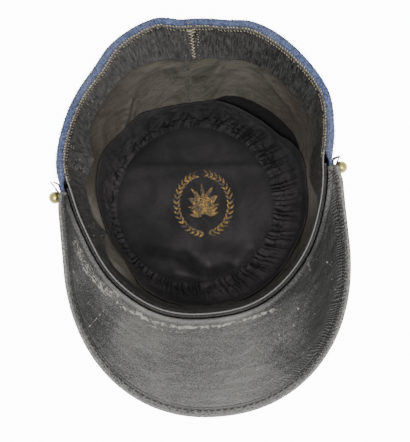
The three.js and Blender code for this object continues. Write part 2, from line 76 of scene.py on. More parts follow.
# The side lining's free edge: angle, and height as a share of its edge height.
SIDE_LINING_HANG = [
    (0, 0.75), (6, 0.85), (12, 1.15), (18, 1.53), (27, 1.69), (38, 1.75), (50, 1.81),
    (60, 1.88), (66, 1.8), (80, 1.2), (120, 1.0), (180, 1.0), (226, 0.8), (240, 0.75),
    (256, 1.0), (300, 1.0), (335, 0.85),
]

# The gathered lining's hem: angle, height and fall as shares of the hem height.
HEM_HANG = [
    (5, 0.57, 0), (12, 0.64, 0), (20, 0.64, 0.04), (27, 0.64, 0.085), (34, 0.64, 0.105), (47, 0.64, 0.09),
    (54, 0.66, 0.076), (61, 0.8, 0.03), (68, 0.95, 0), (73, 1.07, 0), (79, 1.12, 0), (92, 1.12, 0),
    (108, 1.22, 0), (125, 1.0, 0), (160, 1.12, 0), (200, 1.2, 0), (219, 1.15, 0), (227, 0.9, 0),
    (240, 0.58, 0), (251, 0.83, 0), (262, 0.93, 0), (275, 1.07, 0), (286, 1.19, 0), (297, 1.24, 0),
    (304, 1.14, 0), (314, 0.98, 0), (328, 0.94, 0), (334, 0.8, 0), (340, 0.66, 0), (352, 0.54, 0),
]

# How closely the gathers lie: angle, pleats a degree, and depth as a share of the gather depth.
GATHER_CROWD = [
    (0, 0.07, 0.8), (30, 0.08, 0.9), (55, 0.11, 0.9), (80, 0.26, 1.1), (110, 0.27, 1.3), (150, 0.24, 1.4),
    (185, 0.23, 1.3), (215, 0.2, 1.2), (245, 0.22, 0.9), (275, 0.2, 0.5), (310, 0.1, 0.5), (335, 0.08, 0.7),
]

# Folds in the tip lining: ends and width as shares of its radius, and rise as a share of the gather height.
TIP_FOLDS = [
    ((-0.85, 0.42), (0.85, 0.56), 0.09, -0.22),
    ((-0.8, 0.62), (0.7, 0.74), 0.13, 0.14),
    ((-0.62, -0.5), (-0.2, -0.62), 0.07, -0.3),
    ((-0.2, -0.62), (0.0, -0.86), 0.07, -0.3),
    ((-0.3, -0.8), (0.02, -0.9), 0.06, 0.3),
    ((-0.05, -0.6), (0.1, -0.74), 0.07, 0.26),
    ((0.14, -0.84), (0.34, -0.8), 0.06, -0.3),
    ((0.14, -0.5), (0.62, -0.66), 0.08, -0.26),
    ((0.42, -0.76), (0.62, -0.58), 0.07, 0.22),
]

# Creases in the side lining: angle, share of its height, half length, slope, width and depth in mm.
LINING_CREASES = [
    (303, 0.6, 12, -0.02, 0.09, 0.8), (322, 0.72, 9, -0.022, 0.05, 1.6),
    (319, 0.86, 8, -0.02, 0.04, -1.3), (312, 0.3, 9, 0.03, 0.05, 0.9), (316, 0.6, 5, 0.09, 0.03, -0.9),
    (326, 0.35, 6, 0.05, 0.03, 0.9), (330, 0.62, 4, 0.1, 0.028, -1.0),
    (344, 0.3, 10, 0.004, 0.04, 0.9), (352, 0.7, 9, -0.01, 0.03, -0.7),
    (8, 0.5, 16, 0.004, 0.06, 1.0), (30, 0.4, 12, -0.012, 0.05, -0.9),
    (48, 0.55, 12, 0.012, 0.05, 1.0), (66, 0.5, 9, 0.02, 0.05, -0.9),
    (272, 0.5, 8, 0.02, 0.06, 1.0), (232, 0.35, 7, 0.0, 0.3, 2.6),
]

# Scuffs on the peak: points in plan in mm, half width in mm, and strength.
PEAK_SCUFFS = [
    (((-50.6, -64.8), (-44.2, -71.2), (-34.3, -75.4), (-23.6, -78.3), (-14.1, -79.3),
     (0.7, -80.0), (9.1, -78.9), (25.5, -76.0), (39.4, -72.2)), 1.5, 0.95),
    (((61.9, -38.9), (62.9, -48.7)), 2.0, 0.62),
    (((68.8, -27.4), (63.4, -37.2)), 1.2, 0.55),
    (((51.7, -71.4), (52.9, -72.8)), 0.8, 0.9),
    (((48.2, -81.4), (49.3, -83.4)), 0.7, 0.9),
    (((38.6, -87.6), (39.7, -88.9)), 0.6, 0.8),
    (((72.5, -43.2), (76.5, -47.4)), 0.5, 0.85),
    (((-84.7, -17.1), (-80.7, -29.7), (-73.6, -42.6), (-62.4, -53.4)), 3.3, 0.7),
    (((-81.1, -33.5), (-69.8, -50.1), (-60.0, -60.0)), 1.4, 0.8),
    (((-60.0, -60.5), (-52.0, -66.0), (-44.2, -71.2)), 2.0, 0.75),
    (((-44.0, -74.0), (-34.0, -79.0), (-22.0, -82.0)), 1.8, 0.6),
    (((-80.1, -70.3), (-70.2, -61.0)), 0.45, 0.85),
    (((-82.7, -3.8), (-81.9, -15.4)), 0.9, 0.5),
    (((-87.8, -29.0), (-86.0, -37.6)), 0.7, 0.6),
    (((31.1, -97.8), (33.8, -96.7)), 0.45, 0.8),
    (((22.5, -100.8), (24.2, -103.5)), 0.4, 0.7),
    (((41.3, -112.3), (42.9, -115.7)), 0.4, 0.7),
    (((-62.9, -84.9), (-59.5, -89.7)), 0.45, 0.6),
]


# Soft patches that go round the cap: angle, half width in degrees, and strength.
BAND_RUBBED = [
    (330, 40, 0.66), (272, 30, 0.46), (180, 60, 0.78), (40, 45, 0.12), (112, 26, 0.6), (62, 18, 0.24),
]
LINING_WARM = [(285, 42, 0.9), (56, 17, 0.9)]
# Painted light: the side lining is made paler where it lies deep in the crown.
LINING_PAINTED_LIGHT = [(263, 13, 1.0), (234, 11, 0.95), (95, 16, 0.85)]

# Loose lint on the sweatband: angle, half width in degrees, and how many.
BAND_LINT = [(285, 4, 12), (250, 5, 9), (2.8, 4, 10), (314, 8, 6)]

# The chin strap's section: across as a share of its width, and out as a share of its thickness.
STRAP_SECTION = [
    (-0.5, 0.3), (-0.47, 0.95), (-0.43, 1.0), (-0.4, 0.78), (-0.36, 1.0), (-0.15, 1.06), (0.15, 1.06),
    (0.36, 1.0), (0.4, 0.78), (0.43, 1.0), (0.47, 0.95), (0.5, 0.3), (0.47, 0.0), (0, 0.0), (-0.47, 0.0),
]

# Thread ends at the buttons: side, how far outwards, and how far towards the back, in mm.
BUTTON_THREADS = [(1, 4.0, 7.6), (1, 2.6, 4.4), (-1, 4.2, 10.4), (-1, 2.6, 5.2)]

# The ornament's rosette, in mm: level of a tier, how many leaves, and their length.
ROSETTE_TIERS = [(-9.0, 9, 8.5), (-3.5, 7, 9.5), (2.5, 5, 9.0)]

# The lights: name, place in metres, size and power.
LIGHTS = [("overhead_light", (0.0, -0.3, 1.5), 1.1, 19.0), ("side_light", (0.9, -0.8, 1.2), 0.8, 4.5)]
LIT_PLACE = (0, 0, 0.08)
CAMERA_PLACE = (-0.00105, -0.011, 0.8)
CAMERA_TURN = -5.5
CAMERA_LENS = 90

# Angles in degrees, and counts of stitches, hairs and pleats' columns.
BACK_SEAM = 2.0
BAND_SEAM = 2.8
SIDE_LINING_SEAM = (357.2, 358.2)
HEM_ROLL = (12, 72)
WHIP_PITCH = 1.25
BEAD_PITCH = 1.12
TOP_STITCH_PITCH = 3.0
GROOVE_STITCH_PITCH = 1.9
BACK_STITCHES = 34
SEAM_ZIGZAGS = 19
RIM_HAIRS = 3400
LINING_ENDS = 46
GATHER_COLUMNS = 1200
GATHER_ROWS = 36


def length_property(name, description, millimetres):
    """A length that the panel shows."""
    return bpy.props.FloatProperty(
        name=name, description=description, default=millimetres * MM, unit="LENGTH"
    )


class KepiSizes(bpy.types.PropertyGroup):
    """The cap's main sizes."""

    top_radius: length_property("Top radius", "Radius of the crown's flat top", 70)
    opening_half_width: length_property("Opening half width", "Half of the opening from side to side", 84.5)
    opening_half_length: length_property("Opening half length", "Half of the opening from front to back", 92)
    opening_set_back: length_property(
        "Opening set back", "How far the opening's middle lies behind the top's", 20
    )
    opening_set_aside: length_property(
        "Opening set aside", "How far the opening's middle lies to the right of the top's", -2.8
    )
    front_height: length_property("Front height", "Height of the crown in front", 80)
    back_height: length_property("Back height", "Height of the crown at the back", 110)
    wall: length_property("Wall", "Thickness of the cloth and its stiffener", 2.2)
    rim_roll: length_property("Rim roll", "Width of the cloth turned over the rim", 5.6)
    sweatband_depth: length_property("Sweatband depth", "Width of the leather sweatband", 39)
    hem_height: length_property("Hem height", "Height of the gathered lining's hem", 29)
    tip_radius: length_property("Tip radius", "Radius of the round of the lining", 58.2)
    peak_half_width: length_property("Peak half width", "Half of the peak from side to side", 89.2)
    peak_reach: length_property("Peak reach", "How far the peak reaches past the opening", 60.8)
    strap_width: length_property("Strap width", "Width of the chin strap", 12)
    button_radius: length_property("Button radius", "Radius of a ball button", 3.6)


def colour_property(name, description, default):
    """A colour that the panel shows."""
    return bpy.props.FloatVectorProperty(
        name=name, description=description, default=default, subtype="COLOR", size=3, min=0, max=1
    )


class KepiColours(bpy.types.PropertyGroup):
    """The cap's colours, as linear light."""

    wool: colour_property("Wool", "Faded blue wool cloth", (0.106, 0.142, 0.285))
    band_leather: colour_property("Band leather", "Black sweatband leather", (0.02, 0.02, 0.021))
    band_rubbed: colour_property("Rubbed band", "Sweatband leather where it is rubbed", (0.15, 0.149, 0.144))
    peak_leather: colour_property("Peak leather", "Dark leather of the peak", (0.034, 0.034, 0.033))
    # Also the tone of the painted reflection on the peak.
    peak_rubbed: colour_property("Rubbed peak", "Peak leather where it is worn to grey", (0.215, 0.214, 0.2))
    peak_scuffed: colour_property("Scuffed peak", "Peak leather where its face is gone", (0.5, 0.475, 0.42))
    glazed_cotton: colour_property("Glazed cotton", "Brown-grey lining of the sides", (0.135, 0.125, 0.102))
    cotton_stain: colour_property("Cotton stain", "Dark stains on the side lining", (0.035, 0.03, 0.026))
    black_cotton: colour_property("Black cotton", "Lining of the crown's top", (0.0546, 0.0502, 0.0511))
    tan_thread: colour_property("Tan thread", "Thread of the whip stitches", (0.5, 0.43, 0.29))
    dark_thread: colour_property("Dark thread", "Thread of the peak and the linings", (0.014, 0.013, 0.013))
    brass: colour_property("Brass", "Ball buttons", (0.97, 0.86, 0.33))
    gilt: colour_property("Gilt", "Worn gold ornament", (0.62, 0.36, 0.07))
    floor: colour_property("Floor", "Pale surface that the cap lies on", (0.9, 0.9, 0.9))


def go_round(rows, column):
    """A smooth function of an angle, from a table that goes once round. It stays within its rows."""
    count = len(rows)
    at = [row[0] for row in rows]
    value = [row[column] for row in rows]
    span = [(at[(i + 1) % count] - at[i]) % FULL_TURN for i in range(count)]
    slope = [(value[(i + 1) % count] - value[i]) / span[i] for i in range(count)]

    def blend(a, b):
        return 2 * a * b / (a + b) if a * b > 0 else 0.0

    angles, samples = [], []
    for i in range(count):
        start = blend(slope[i - 1], slope[i]) * span[i]
        end = blend(slope[i], slope[(i + 1) % count]) * span[i]
        for step in range(40):
            s = step / 40
            angles.append(at[i] + s * span[i])
            samples.append(
                (2 * s**3 - 3 * s**2 + 1) * value[i]
                + (s**3 - 2 * s**2 + s) * start
                + (3 * s**2 - 2 * s**3) * value[(i + 1) % count]
                + (s**3 - s**2) * end
            )
    return lambda angle: np.interp(angle, angles, samples, period=FULL_TURN)


def smoothstep(x, low, high):
    """0 below low, 1 above high, and smooth between."""
    s = np.clip((x - low) / (high - low), 0, 1)
    return s * s * (3 - 2 * s)


def mix(a, b, s):
    """The value at share s from a to b."""
    return a + (b - a) * s


def bump_at(x, middle, width):
    """A soft bump, 1 at its middle."""
    return np.exp(-(((x - middle) / width) ** 2))


def apart(angle, middle):
    """The signed way in degrees from one angle to another."""
    return (np.asarray(angle) - middle + 180) % FULL_TURN - 180


def around(angle, at, width):
    """A soft bump round the cap, 1 at its angle."""
    return bump_at(apart(angle, at), 0, width)


def patches(angle, rows):
    """The sum of soft bumps round the cap, from rows of angle, half width and strength."""
    return sum(strength * around(angle, at, width) for at, width, strength in rows)


def near_line(x, y, points, width):
    """1 on a line through points in plan, falling softly to 0 beside it."""
    found = np.zeros(np.shape(x))
    for (ax, ay), (bx, by) in zip(points, points[1:]):
        dx, dy = bx - ax, by - ay
        share = np.clip(((x - ax) * dx + (y - ay) * dy) / (dx * dx + dy * dy), 0, 1)
        off = np.hypot(x - ax - dx * share, y - ay - dy * share)
        found = np.maximum(found, np.exp(-((off / width) ** 2)))
    return found


def unit(v):
    """Vectors of length 1."""
    return v / np.maximum(np.linalg.norm(v, axis=-1, keepdims=True), 1e-12)


def wander(angle, scale, seed, share=0.0):
    """Smooth chance values from -1 to 1 that close on themselves round the cap."""
    turned = np.radians(np.asarray(angle, float))
    share = np.broadcast_to(np.asarray(share, float), turned.shape)
    flat = [
        noise.noise(Vector((math.sin(a) * scale, math.cos(a) * scale, seed * 7.3 + s * scale)))
        for a, s in zip(turned.ravel(), share.ravel())
    ]
    return np.array(flat).reshape(turned.shape)


class KepiForm:
    """The cap's shape in millimetres. Angles go round in degrees: 0 is the back, 90 is +X, 180 the front."""

    bulge = 1.5
    band_stand = 0.6
    band_thickness = 1.2
    lining_thickness = 1.0
    roll_depth = 2.6
    lining_overlap = 10.0
    lining_edge = 16.0
    gather_height = 9.5
    gather_foot_share = 0.55
    tip_shift = np.array([-7.0, 1.0])
    peak_thickness = 2.5
    peak_set_aside = 0.6
    peak_fullness = 102.0
    peak_roundness = 2.15
    peak_slope_front = 29.0
    peak_slope_side = 52.0
    peak_arch = 0.14
    peak_end = 87.0
    peak_groove = 2.0
    binding_width = 4.8
    binding_share_most = 0.45
    strap_thickness = 1.5
    strap_below_rim = 5.5
    strap_tab = 8.0
    strap_flare = 4.0
    button_angle = 91.3
    sewn = 0.35
    loose = 0.6

    def __init__(self, sizes):
        for name in KepiSizes.__annotations__:
            setattr(self, name, getattr(sizes, name) / MM)
        self.opening_radius = go_round(OPENING_SHAPE, 1)
        self.opening_lift = go_round(OPENING_SHAPE, 2)
        self.band_depth = go_round(SWEATBAND_HANG, 1)
        self.band_sag = go_round(SWEATBAND_HANG, 2)
        self.lining_height = go_round(SIDE_LINING_HANG, 1)
        self.hem_level = go_round(HEM_HANG, 1)
        self.hem_fall = go_round(HEM_HANG, 2)

    def opening(self, angle):
        """The opening's sewn edge in plan."""
        turned = np.radians(angle)
        across = np.sin(turned) / self.opening_half_width
        ahead = np.cos(turned) / self.opening_half_length
        radius = 1 / np.hypot(across, ahead) * self.opening_radius(angle)
        x = np.sin(turned) * radius + self.opening_set_aside
        y = np.cos(turned) * radius + self.opening_set_back
        return np.stack([x, y], -1)

    def outside(self, angle, outward):
        """The sewn edge moved outwards in plan."""
        angle = np.asarray(angle, float)
        along = unit(self.opening(angle + 0.5) - self.opening(angle - 0.5))
        normal = np.stack([-along[..., 1], along[..., 0]], -1)
        return self.opening(angle) + normal * np.asarray(outward)[..., None]

    def rim_height(self, angle):
        """The rim's height, which rises from front to back."""
        share = (self.opening(angle)[..., 1] - self.opening_set_back) / (2 * self.opening_half_length) + 0.5
        return mix(self.front_height, self.back_height, share) + self.opening_lift(angle) * self.back_height

    def wall_face(self, angle, share):
        """The crown's outer face. Share is 0 at the floor and 1 at the rim."""
        angle, share = np.broadcast_arrays(np.asarray(angle, float), np.asarray(share, float))
        turned = np.radians(angle)
        way = np.stack([np.sin(turned), np.cos(turned)], -1)
        bulge = self.bulge * np.sin(np.pi * np.clip(share, 0, 1))
        rim = self.outside(angle, np.full(angle.shape, self.rim_roll))
        foot = way * self.top_radius
        plan = foot + (rim - foot) * share[..., None] + way * bulge[..., None]
        return np.concatenate([plan, (self.rim_height(angle) * share)[..., None]], -1)

    def wall_normal(self, angle, share):
        """The crown's outward normal."""
        angle, share = np.broadcast_arrays(np.asarray(angle, float), np.asarray(share, float))
        round_way = self.wall_face(angle + 0.5, share) - self.wall_face(angle - 0.5, share)
        up = self.wall_face(angle, share + 0.01) - self.wall_face(angle, share - 0.01)
        return unit(np.cross(up, round_way))

    def wall_point(self, angle, share, inset):
        """A point inside the crown's outer face by an inset, or outside it by a negative one."""
        normal = self.wall_normal(angle, share)
        inset = np.broadcast_to(np.asarray(inset, float), normal.shape[:-1])
        return self.wall_face(angle, share) - normal * inset[..., None]

    def at_depth(self, angle, depth):
        """The share of the wall's height at a depth below the rim."""
        slant = np.linalg.norm(self.wall_face(angle, 1.0) - self.wall_face(angle, 0.0), axis=-1)
        return 1 - np.asarray(depth) / slant

    def at_height(self, angle, height):
        """The share of the wall's height at a height above the floor."""
        return np.asarray(height) / self.rim_height(angle)

    def from_front(self, angle):
        """0 at the front and 180 at the back."""
        return np.abs(np.mod(angle, FULL_TURN) - 180)

    def rolled(self, angle):
        """1 where the cloth is turned over the rim and 0 where the peak is sewn on."""
        return smoothstep(self.from_front(angle), self.peak_end + 3, self.peak_end + 9)

    def puff(self, angle):
        """How far the worn cloth swells outwards along the rim."""
        swell = 0.8 * self.rolled(angle) * smoothstep(self.from_front(angle), 110, 135)
        return swell + 0.9 * around(angle, 34, 13) + 0.5 * around(angle, 324, 14)

    def peak_slope(self, angle):
        """The slope at which the peak leaves its seam."""
        aside = smoothstep(self.from_front(angle), 0, self.peak_end)
        return mix(self.peak_slope_front, self.peak_slope_side, aside)

    def peak_drop(self, angle):
        """How far the wall stops short of the rim under the peak."""
        slope = np.radians(self.peak_slope(angle))
        out = self.rim_roll - self.wall / 2 - self.peak_groove - self.peak_thickness * np.sin(slope)
        under = out * np.tan(slope) - self.peak_thickness * np.cos(slope)
        return np.maximum(self.loose / np.cos(slope) - under, 0) * (1 - self.rolled(angle))

    def band_point(self, angle, s, inset):
        """A point of the sweatband. s is 0 at its sewn edge and 1 at its free edge."""
        depth = self.sweatband_depth * self.band_depth(angle)
        sag = self.sweatband_depth * self.band_sag(angle) * smoothstep(s, 0.3, 1)
        outer = self.rim_roll + self.sewn
        share = self.at_depth(angle, mix(-self.band_stand, depth, s))
        return self.wall_point(angle, share, outer + inset + sag)

    def peak_edge(self, angle):
        """How far out the peak's edge lies from the opening's middle, by halving."""
        middle = -self.opening_half_length - self.peak_reach + self.peak_fullness
        turned = np.radians(angle)
        low = np.zeros_like(turned)
        high = np.full_like(turned, 4 * self.peak_fullness)
        for _ in range(40):
            r = (low + high) / 2
            across = np.abs(np.sin(turned) * r - self.peak_set_aside) / self.peak_half_width
            ahead = np.maximum(middle - np.cos(turned) * r, 0) / self.peak_fullness
            inside = across**self.peak_roundness + ahead**self.peak_roundness < 1
            low = np.where(inside, r, low)
            high = np.where(inside, high, r)
        return low

    def peak_face(self, angle, share):
        """The peak's underside. Share is 0 at its seam and 1 at its edge."""
        angle, share = np.broadcast_arrays(np.asarray(angle, float), np.asarray(share, float))
        turned = np.radians(angle)
        seam = self.outside(angle, np.full(angle.shape, self.peak_groove))
        middle = np.array([self.opening_set_aside, self.opening_set_back])
        edge = np.stack([np.sin(turned), np.cos(turned)], -1) * self.peak_edge(angle)[..., None] + middle
        rise = np.linalg.norm(edge - seam, axis=-1) * np.tan(np.radians(self.peak_slope(angle)))
        plan = seam + (edge - seam) * share[..., None]
        height = self.rim_height(angle) + rise * (share + self.peak_arch * share * (1 - share))
        return np.concatenate([plan, height[..., None]], -1)

    def peak_point(self, angle, share, below):
        """A point below the peak's underside."""
        angle, share = np.broadcast_arrays(np.asarray(angle, float), np.asarray(share, float))
        out = self.peak_face(angle, share + 0.02) - self.peak_face(angle, share - 0.02)
        round_way = self.peak_face(angle + 0.5, share) - self.peak_face(angle - 0.5, share)
        down = unit(np.cross(out, round_way))
        down = np.where(down[..., 2:] > 0, -down, down)
        return self.peak_face(angle, share) + down * np.asarray(below)[..., None]

    def peak_length(self, angle):
        """The peak's length from seam to edge."""
        return np.linalg.norm(self.peak_face(angle, 1.0) - self.peak_face(angle, 0.0), axis=-1)

    def binding_share(self, angle):
        """The share of the peak's length that its binding covers."""
        return np.minimum(self.binding_width / self.peak_length(angle), self.binding_share_most)

    def tip_height(self, x, y):
        """The height of the round lining's upper face, with its soft folds."""
        ax = (x - self.tip_shift[0]) / self.tip_radius
        ay = (y - self.tip_shift[1]) / self.tip_radius
        rise = np.zeros_like(ax)
        for start, end, width, lift in TIP_FOLDS:
            dx, dy = end[0] - start[0], end[1] - start[1]
            share = np.clip(((ax - start[0]) * dx + (ay - start[1]) * dy) / (dx * dx + dy * dy), 0, 1)
            off = np.hypot(ax - start[0] - dx * share, ay - start[1] - dy * share)
            rise = rise + lift * np.exp(-((off / width) ** 2))
        edge = smoothstep(1 - np.hypot(ax, ay), 0, 0.12)
        return self.gather_height * (0.9 + 1.4 * edge * np.clip(rise, -0.36, 0.3))

    def button_seat(self, side):
        """Where a button sits and which way it points. Side is 1 on the right and -1 on the left."""
        angle = self.button_angle if side > 0 else FULL_TURN - self.button_angle
        share = self.at_depth(angle, self.strap_below_rim + self.strap_width / 2)
        seat = self.wall_point(angle, share, -2 * self.sewn - self.strap_thickness)
        return seat, self.wall_normal(angle, share)


def grid(points, u, v, wrap_rows=False, wrap_columns=False):
    """Points, faces and corner UVs of a net. Where it wraps, u and v have one more row or column."""
    rows, columns = points.shape[:2]
    i, j = np.meshgrid(
        np.arange(rows if wrap_rows else rows - 1),
        np.arange(columns if wrap_columns else columns - 1),
        indexing="ij",
    )
    below, beside = (i + 1) % rows, (j + 1) % columns
    corners = [(i, j, i, j), (i, j + 1, i, beside), (i + 1, j + 1, below, beside), (i + 1, j, below, j)]
    faces = np.stack([r * columns + c for _, _, r, c in corners], -1).reshape(-1, 4)
    uv = np.stack([np.stack([u[a, b], v[a, b]], -1) for a, b, _, _ in corners], -2).reshape(-1, 4, 2)
    return points.reshape(-1, 3), faces, uv


def lengths(points, axis, wrap=False):
    """How far along each point lies, in millimetres, down its row or column."""
    if wrap:
        points = np.concatenate([points, np.take(points, [0], axis)], axis)
    step = np.linalg.norm(np.diff(points, axis=axis), axis=-1)
    start = np.zeros_like(np.take(step, [0], axis))
    return np.concatenate([start, np.cumsum(step, axis)], axis)


def net(points, wrap_rows=False, wrap_columns=False):
    """A net of points with UVs along its rows and down its columns. A ring's columns stay upright."""
    u = lengths(points, 1, wrap_columns)
    if wrap_columns:
        u = np.broadcast_to(u.mean(0), u.shape)
    v = lengths(points, 0, wrap_rows)
    if wrap_rows:
        u = np.concatenate([u, u[:1]], 0)
    if wrap_columns:
        v = np.concatenate([v, v[:, :1]], 1)
    return grid(points, u, v, wrap_rows, wrap_columns)


def tube(path, radius, sides=6):
    """A round thread along a path, drawn in to a point at both ends. The radius may change along it."""
    path = np.asarray(path, float)
    radius = np.broadcast_to(np.asarray(radius, float), path.shape[:1])
    along = unit(np.gradient(path, axis=0))
    up = np.array([0.0, 0.0, 1.0])
    side = np.cross(along, up)
    weak = np.linalg.norm(side, axis=-1) < 0.2
    side[weak] = np.cross(along[weak], [1.0, 0.0, 0.0])
    side = unit(side)
    other = np.cross(along, side)
    turn = np.linspace(0, 2 * np.pi, sides, endpoint=False)
    circle = np.cos(turn)[:, None, None] * side + np.sin(turn)[:, None, None] * other
    body = path + circle * radius[:, None]
    first = np.broadcast_to(path[0] - along[0] * radius[0] * 0.6, (sides, 1, 3))
    last = np.broadcast_to(path[-1] + along[-1] * radius[-1] * 0.6, (sides, 1, 3))
    points = np.concatenate([first, body, last], 1)
    u = np.concatenate([lengths(points, 1), lengths(points, 1)[:1]], 0)
    v = np.repeat(np.arange(sides + 1)[:, None], points.shape[1], 1) * (radius.mean() * 2 * np.pi / sides)
    return grid(points, u, v, wrap_rows=True)


def ring(outer, inner):
    """A closed net round the cap, from an outer and an inner sheet joined along both edges."""
    return net(shell(outer, inner), wrap_rows=True, wrap_columns=True)


def shell(outer, inner):
    """The rows of an outer sheet and then those of an inner one, back again."""
    return np.concatenate([outer, inner[::-1]], 0)


def joined(parts):
    """Several nets as one."""
    points, faces, uvs, first = [], [], [], 0
    for part_points, part_faces, part_uvs in parts:
        points.append(part_points)
        faces.append(part_faces + first)
        uvs.append(part_uvs)
        first += len(part_points)
    return np.concatenate(points), np.concatenate(faces), np.concatenate(uvs)


def make_piece(name, shape, material, stands_for=(), masks=None):
    """A mesh piece in metres from a net in millimetres, with smooth faces that point outwards."""
    points, faces, uvs = shape
    if not len(points) or not np.isfinite(points).all():
        raise RuntimeError(f"{name} has no shape")
    corner = points[faces]
    solid = np.einsum("ij,ij->i", corner[:, 0], np.cross(corner[:, 1], corner[:, 2]))
    solid += np.einsum("ij,ij->i", corner[:, 0], np.cross(corner[:, 2], corner[:, 3]))
    if solid.sum() < 0:
        faces, uvs = faces[:, ::-1], uvs[:, ::-1]
    mesh = bpy.data.meshes.new(name)
    mesh.vertices.add(len(points))
    mesh.vertices.foreach_set("co", (points * MM).astype(np.float32).ravel())
    mesh.loops.add(faces.size)
    mesh.loops.foreach_set("vertex_index", faces.astype(np.int32).ravel())
    mesh.polygons.add(len(faces))
    mesh.polygons.foreach_set("loop_start", np.arange(0, faces.size, 4, dtype=np.int32))
    mesh.polygons.foreach_set("loop_total", np.full(len(faces), 4, dtype=np.int32))
    layer = mesh.uv_layers.new(name="UVMap")
    layer.data.foreach_set("uv", (uvs * MM).astype(np.float32).ravel())
    for mask, values in (masks or {}).items():
        attribute = mesh.attributes.new(mask, "FLOAT", "POINT")
        attribute.data.foreach_set("value", np.asarray(values, np.float32).ravel())
    mesh.update(calc_edges=True)
    mesh.validate()
    mesh.shade_smooth()
    piece = bpy.data.objects.new(name, mesh)
    bpy.context.scene.collection.objects.link(piece)
    mesh.materials.append(material)
    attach(piece, "root")
    if stands_for:
        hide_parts(*stands_for)
    return piece


class Board:
    """Lays out shader nodes in a material or a node group."""

    def __init__(self, tree):
        self.tree = tree

    def add(self, kind, inputs=None, **settings):
        """A node with its settings, and a value or another node's socket for each input."""
        node = self.tree.nodes.new(kind)
        node.location = (240 * (len(self.tree.nodes) % 8), -260 * (len(self.tree.nodes) // 8))
        for setting, value in settings.items():
            setattr(node, setting, value)
        for key, value in (inputs or {}).items():
            if isinstance(value, bpy.types.NodeSocket):
                self.tree.links.new(value, node.inputs[key])
            else:
                node.inputs[key].default_value = value
        return node

    def math(self, operation, a, b=0.0, c=0.0, clamp=False):
        """The result of a sum on values or sockets."""
        return self.add("ShaderNodeMath", {0: a, 1: b, 2: c}, operation=operation, use_clamp=clamp).outputs[0]

    def level(self, value, low, high, to_low=0.0, to_high=1.0):
        """A value taken smoothly from one range to another."""
        ranged = {"Value": value, "From Min": low, "From Max": high, "To Min": to_low, "To Max": to_high}
        return self.add("ShaderNodeMapRange", ranged, interpolation_type="SMOOTHSTEP").outputs["Result"]

    def tint(self, share, a, b):
        """A colour between two others. A plain colour has three shares."""
        plain = [value if isinstance(value, bpy.types.NodeSocket) else (*value, 1.0) for value in (a, b)]
        return self.add("ShaderNodeMix", {0: share, 6: plain[0], 7: plain[1]}, data_type="RGBA").outputs[2]

    def noise(self, vector, scale, detail=4.0, roughness=0.55, distortion=0.0):
        """The height of a noise texture."""
        shape = {"Scale": scale, "Detail": detail, "Roughness": roughness, "Distortion": distortion}
        return self.add("ShaderNodeTexNoise", {"Vector": vector, **shape}).outputs["Fac"]

    def stretched(self, vector, scale):
        """A vector scaled by its three shares."""
        return self.add("ShaderNodeMapping", {"Vector": vector, "Scale": scale}).outputs["Vector"]

    def where(self, kind):
        """The place on the piece, as Object in metres or as UV."""
        return self.add("ShaderNodeTexCoord").outputs[kind]

    def mask(self, name):
        """A mask that the mesh carries."""
        return self.add("ShaderNodeAttribute", attribute_name=name).outputs["Fac"]

    def use(self, group, inputs):
        """The outputs of a node group with its own values."""
        return self.add("ShaderNodeGroup", inputs, node_tree=group).outputs

    def surface(self, colour, roughness, height, bump_mm, metallic=0.0, sheen=0.0, shine=0.5):
        """Joins colour, roughness and height to the surface."""
        inputs = {"Base Color": colour, "Roughness": roughness, "Metallic": metallic, "Sheen Weight": sheen}
        inputs.update({"Sheen Roughness": 0.6, "Specular IOR Level": shine})
        made = self.add("ShaderNodeBsdfPrincipled", inputs)
        bump = self.add("ShaderNodeBump", {"Height": height, "Strength": 1.0, "Distance": bump_mm * MM})
        self.tree.links.new(bump.outputs["Normal"], made.inputs["Normal"])
        self.add("ShaderNodeOutputMaterial", {"Surface": made.outputs["BSDF"]})
        return made


def effect(name, inputs):
    """Marks a function that lays out a shader node group, which is built once and then found by name."""

    def marked(lay_out):
        def group():
            if name in bpy.data.node_groups:
                return bpy.data.node_groups[name]
            tree = bpy.data.node_groups.new(name, "ShaderNodeTree")
            for socket, default in inputs.items():
                made = tree.interface.new_socket(name=socket, in_out="INPUT", socket_type="NodeSocketFloat")
                made.default_value = default
            board = Board(tree)
            start = board.add("NodeGroupInput")
            end = board.add("NodeGroupOutput")
            for socket, value in lay_out(board, start.outputs).items():
                tree.interface.new_socket(name=socket, in_out="OUTPUT", socket_type="NodeSocketFloat")
                tree.links.new(value, end.inputs[socket])
            return tree

        return group

    return marked


@effect("Leather Grain", {"Grain Size": 0.0008, "Crease Size": 0.006})
def leather_grain(board, given):
    """Fine pebbled grain with soft creases."""
    place = board.where("Object")
    fine = board.math("DIVIDE", 1.0, given["Grain Size"])
    coarse = board.math("DIVIDE", 1.0, given["Crease Size"])
    cells = board.add("ShaderNodeTexVoronoi", {"Vector": place, "Scale": fine, "Randomness": 1.0})
    pebbles = board.level(cells.outputs["Distance"], 0.1, 0.7, 1.0, 0.0)
    creases = board.noise(place, coarse, 6.0, 0.6, 0.4)
    pits = board.noise(place, board.math("MULTIPLY", fine, 0.45), 3.0, 0.7)
    height = board.math("ADD", board.math("MULTIPLY", pebbles, 0.35), board.math("MULTIPLY", creases, 0.9))
    return {"Height": board.math("ADD", height, board.math("MULTIPLY", pits, 0.5))}


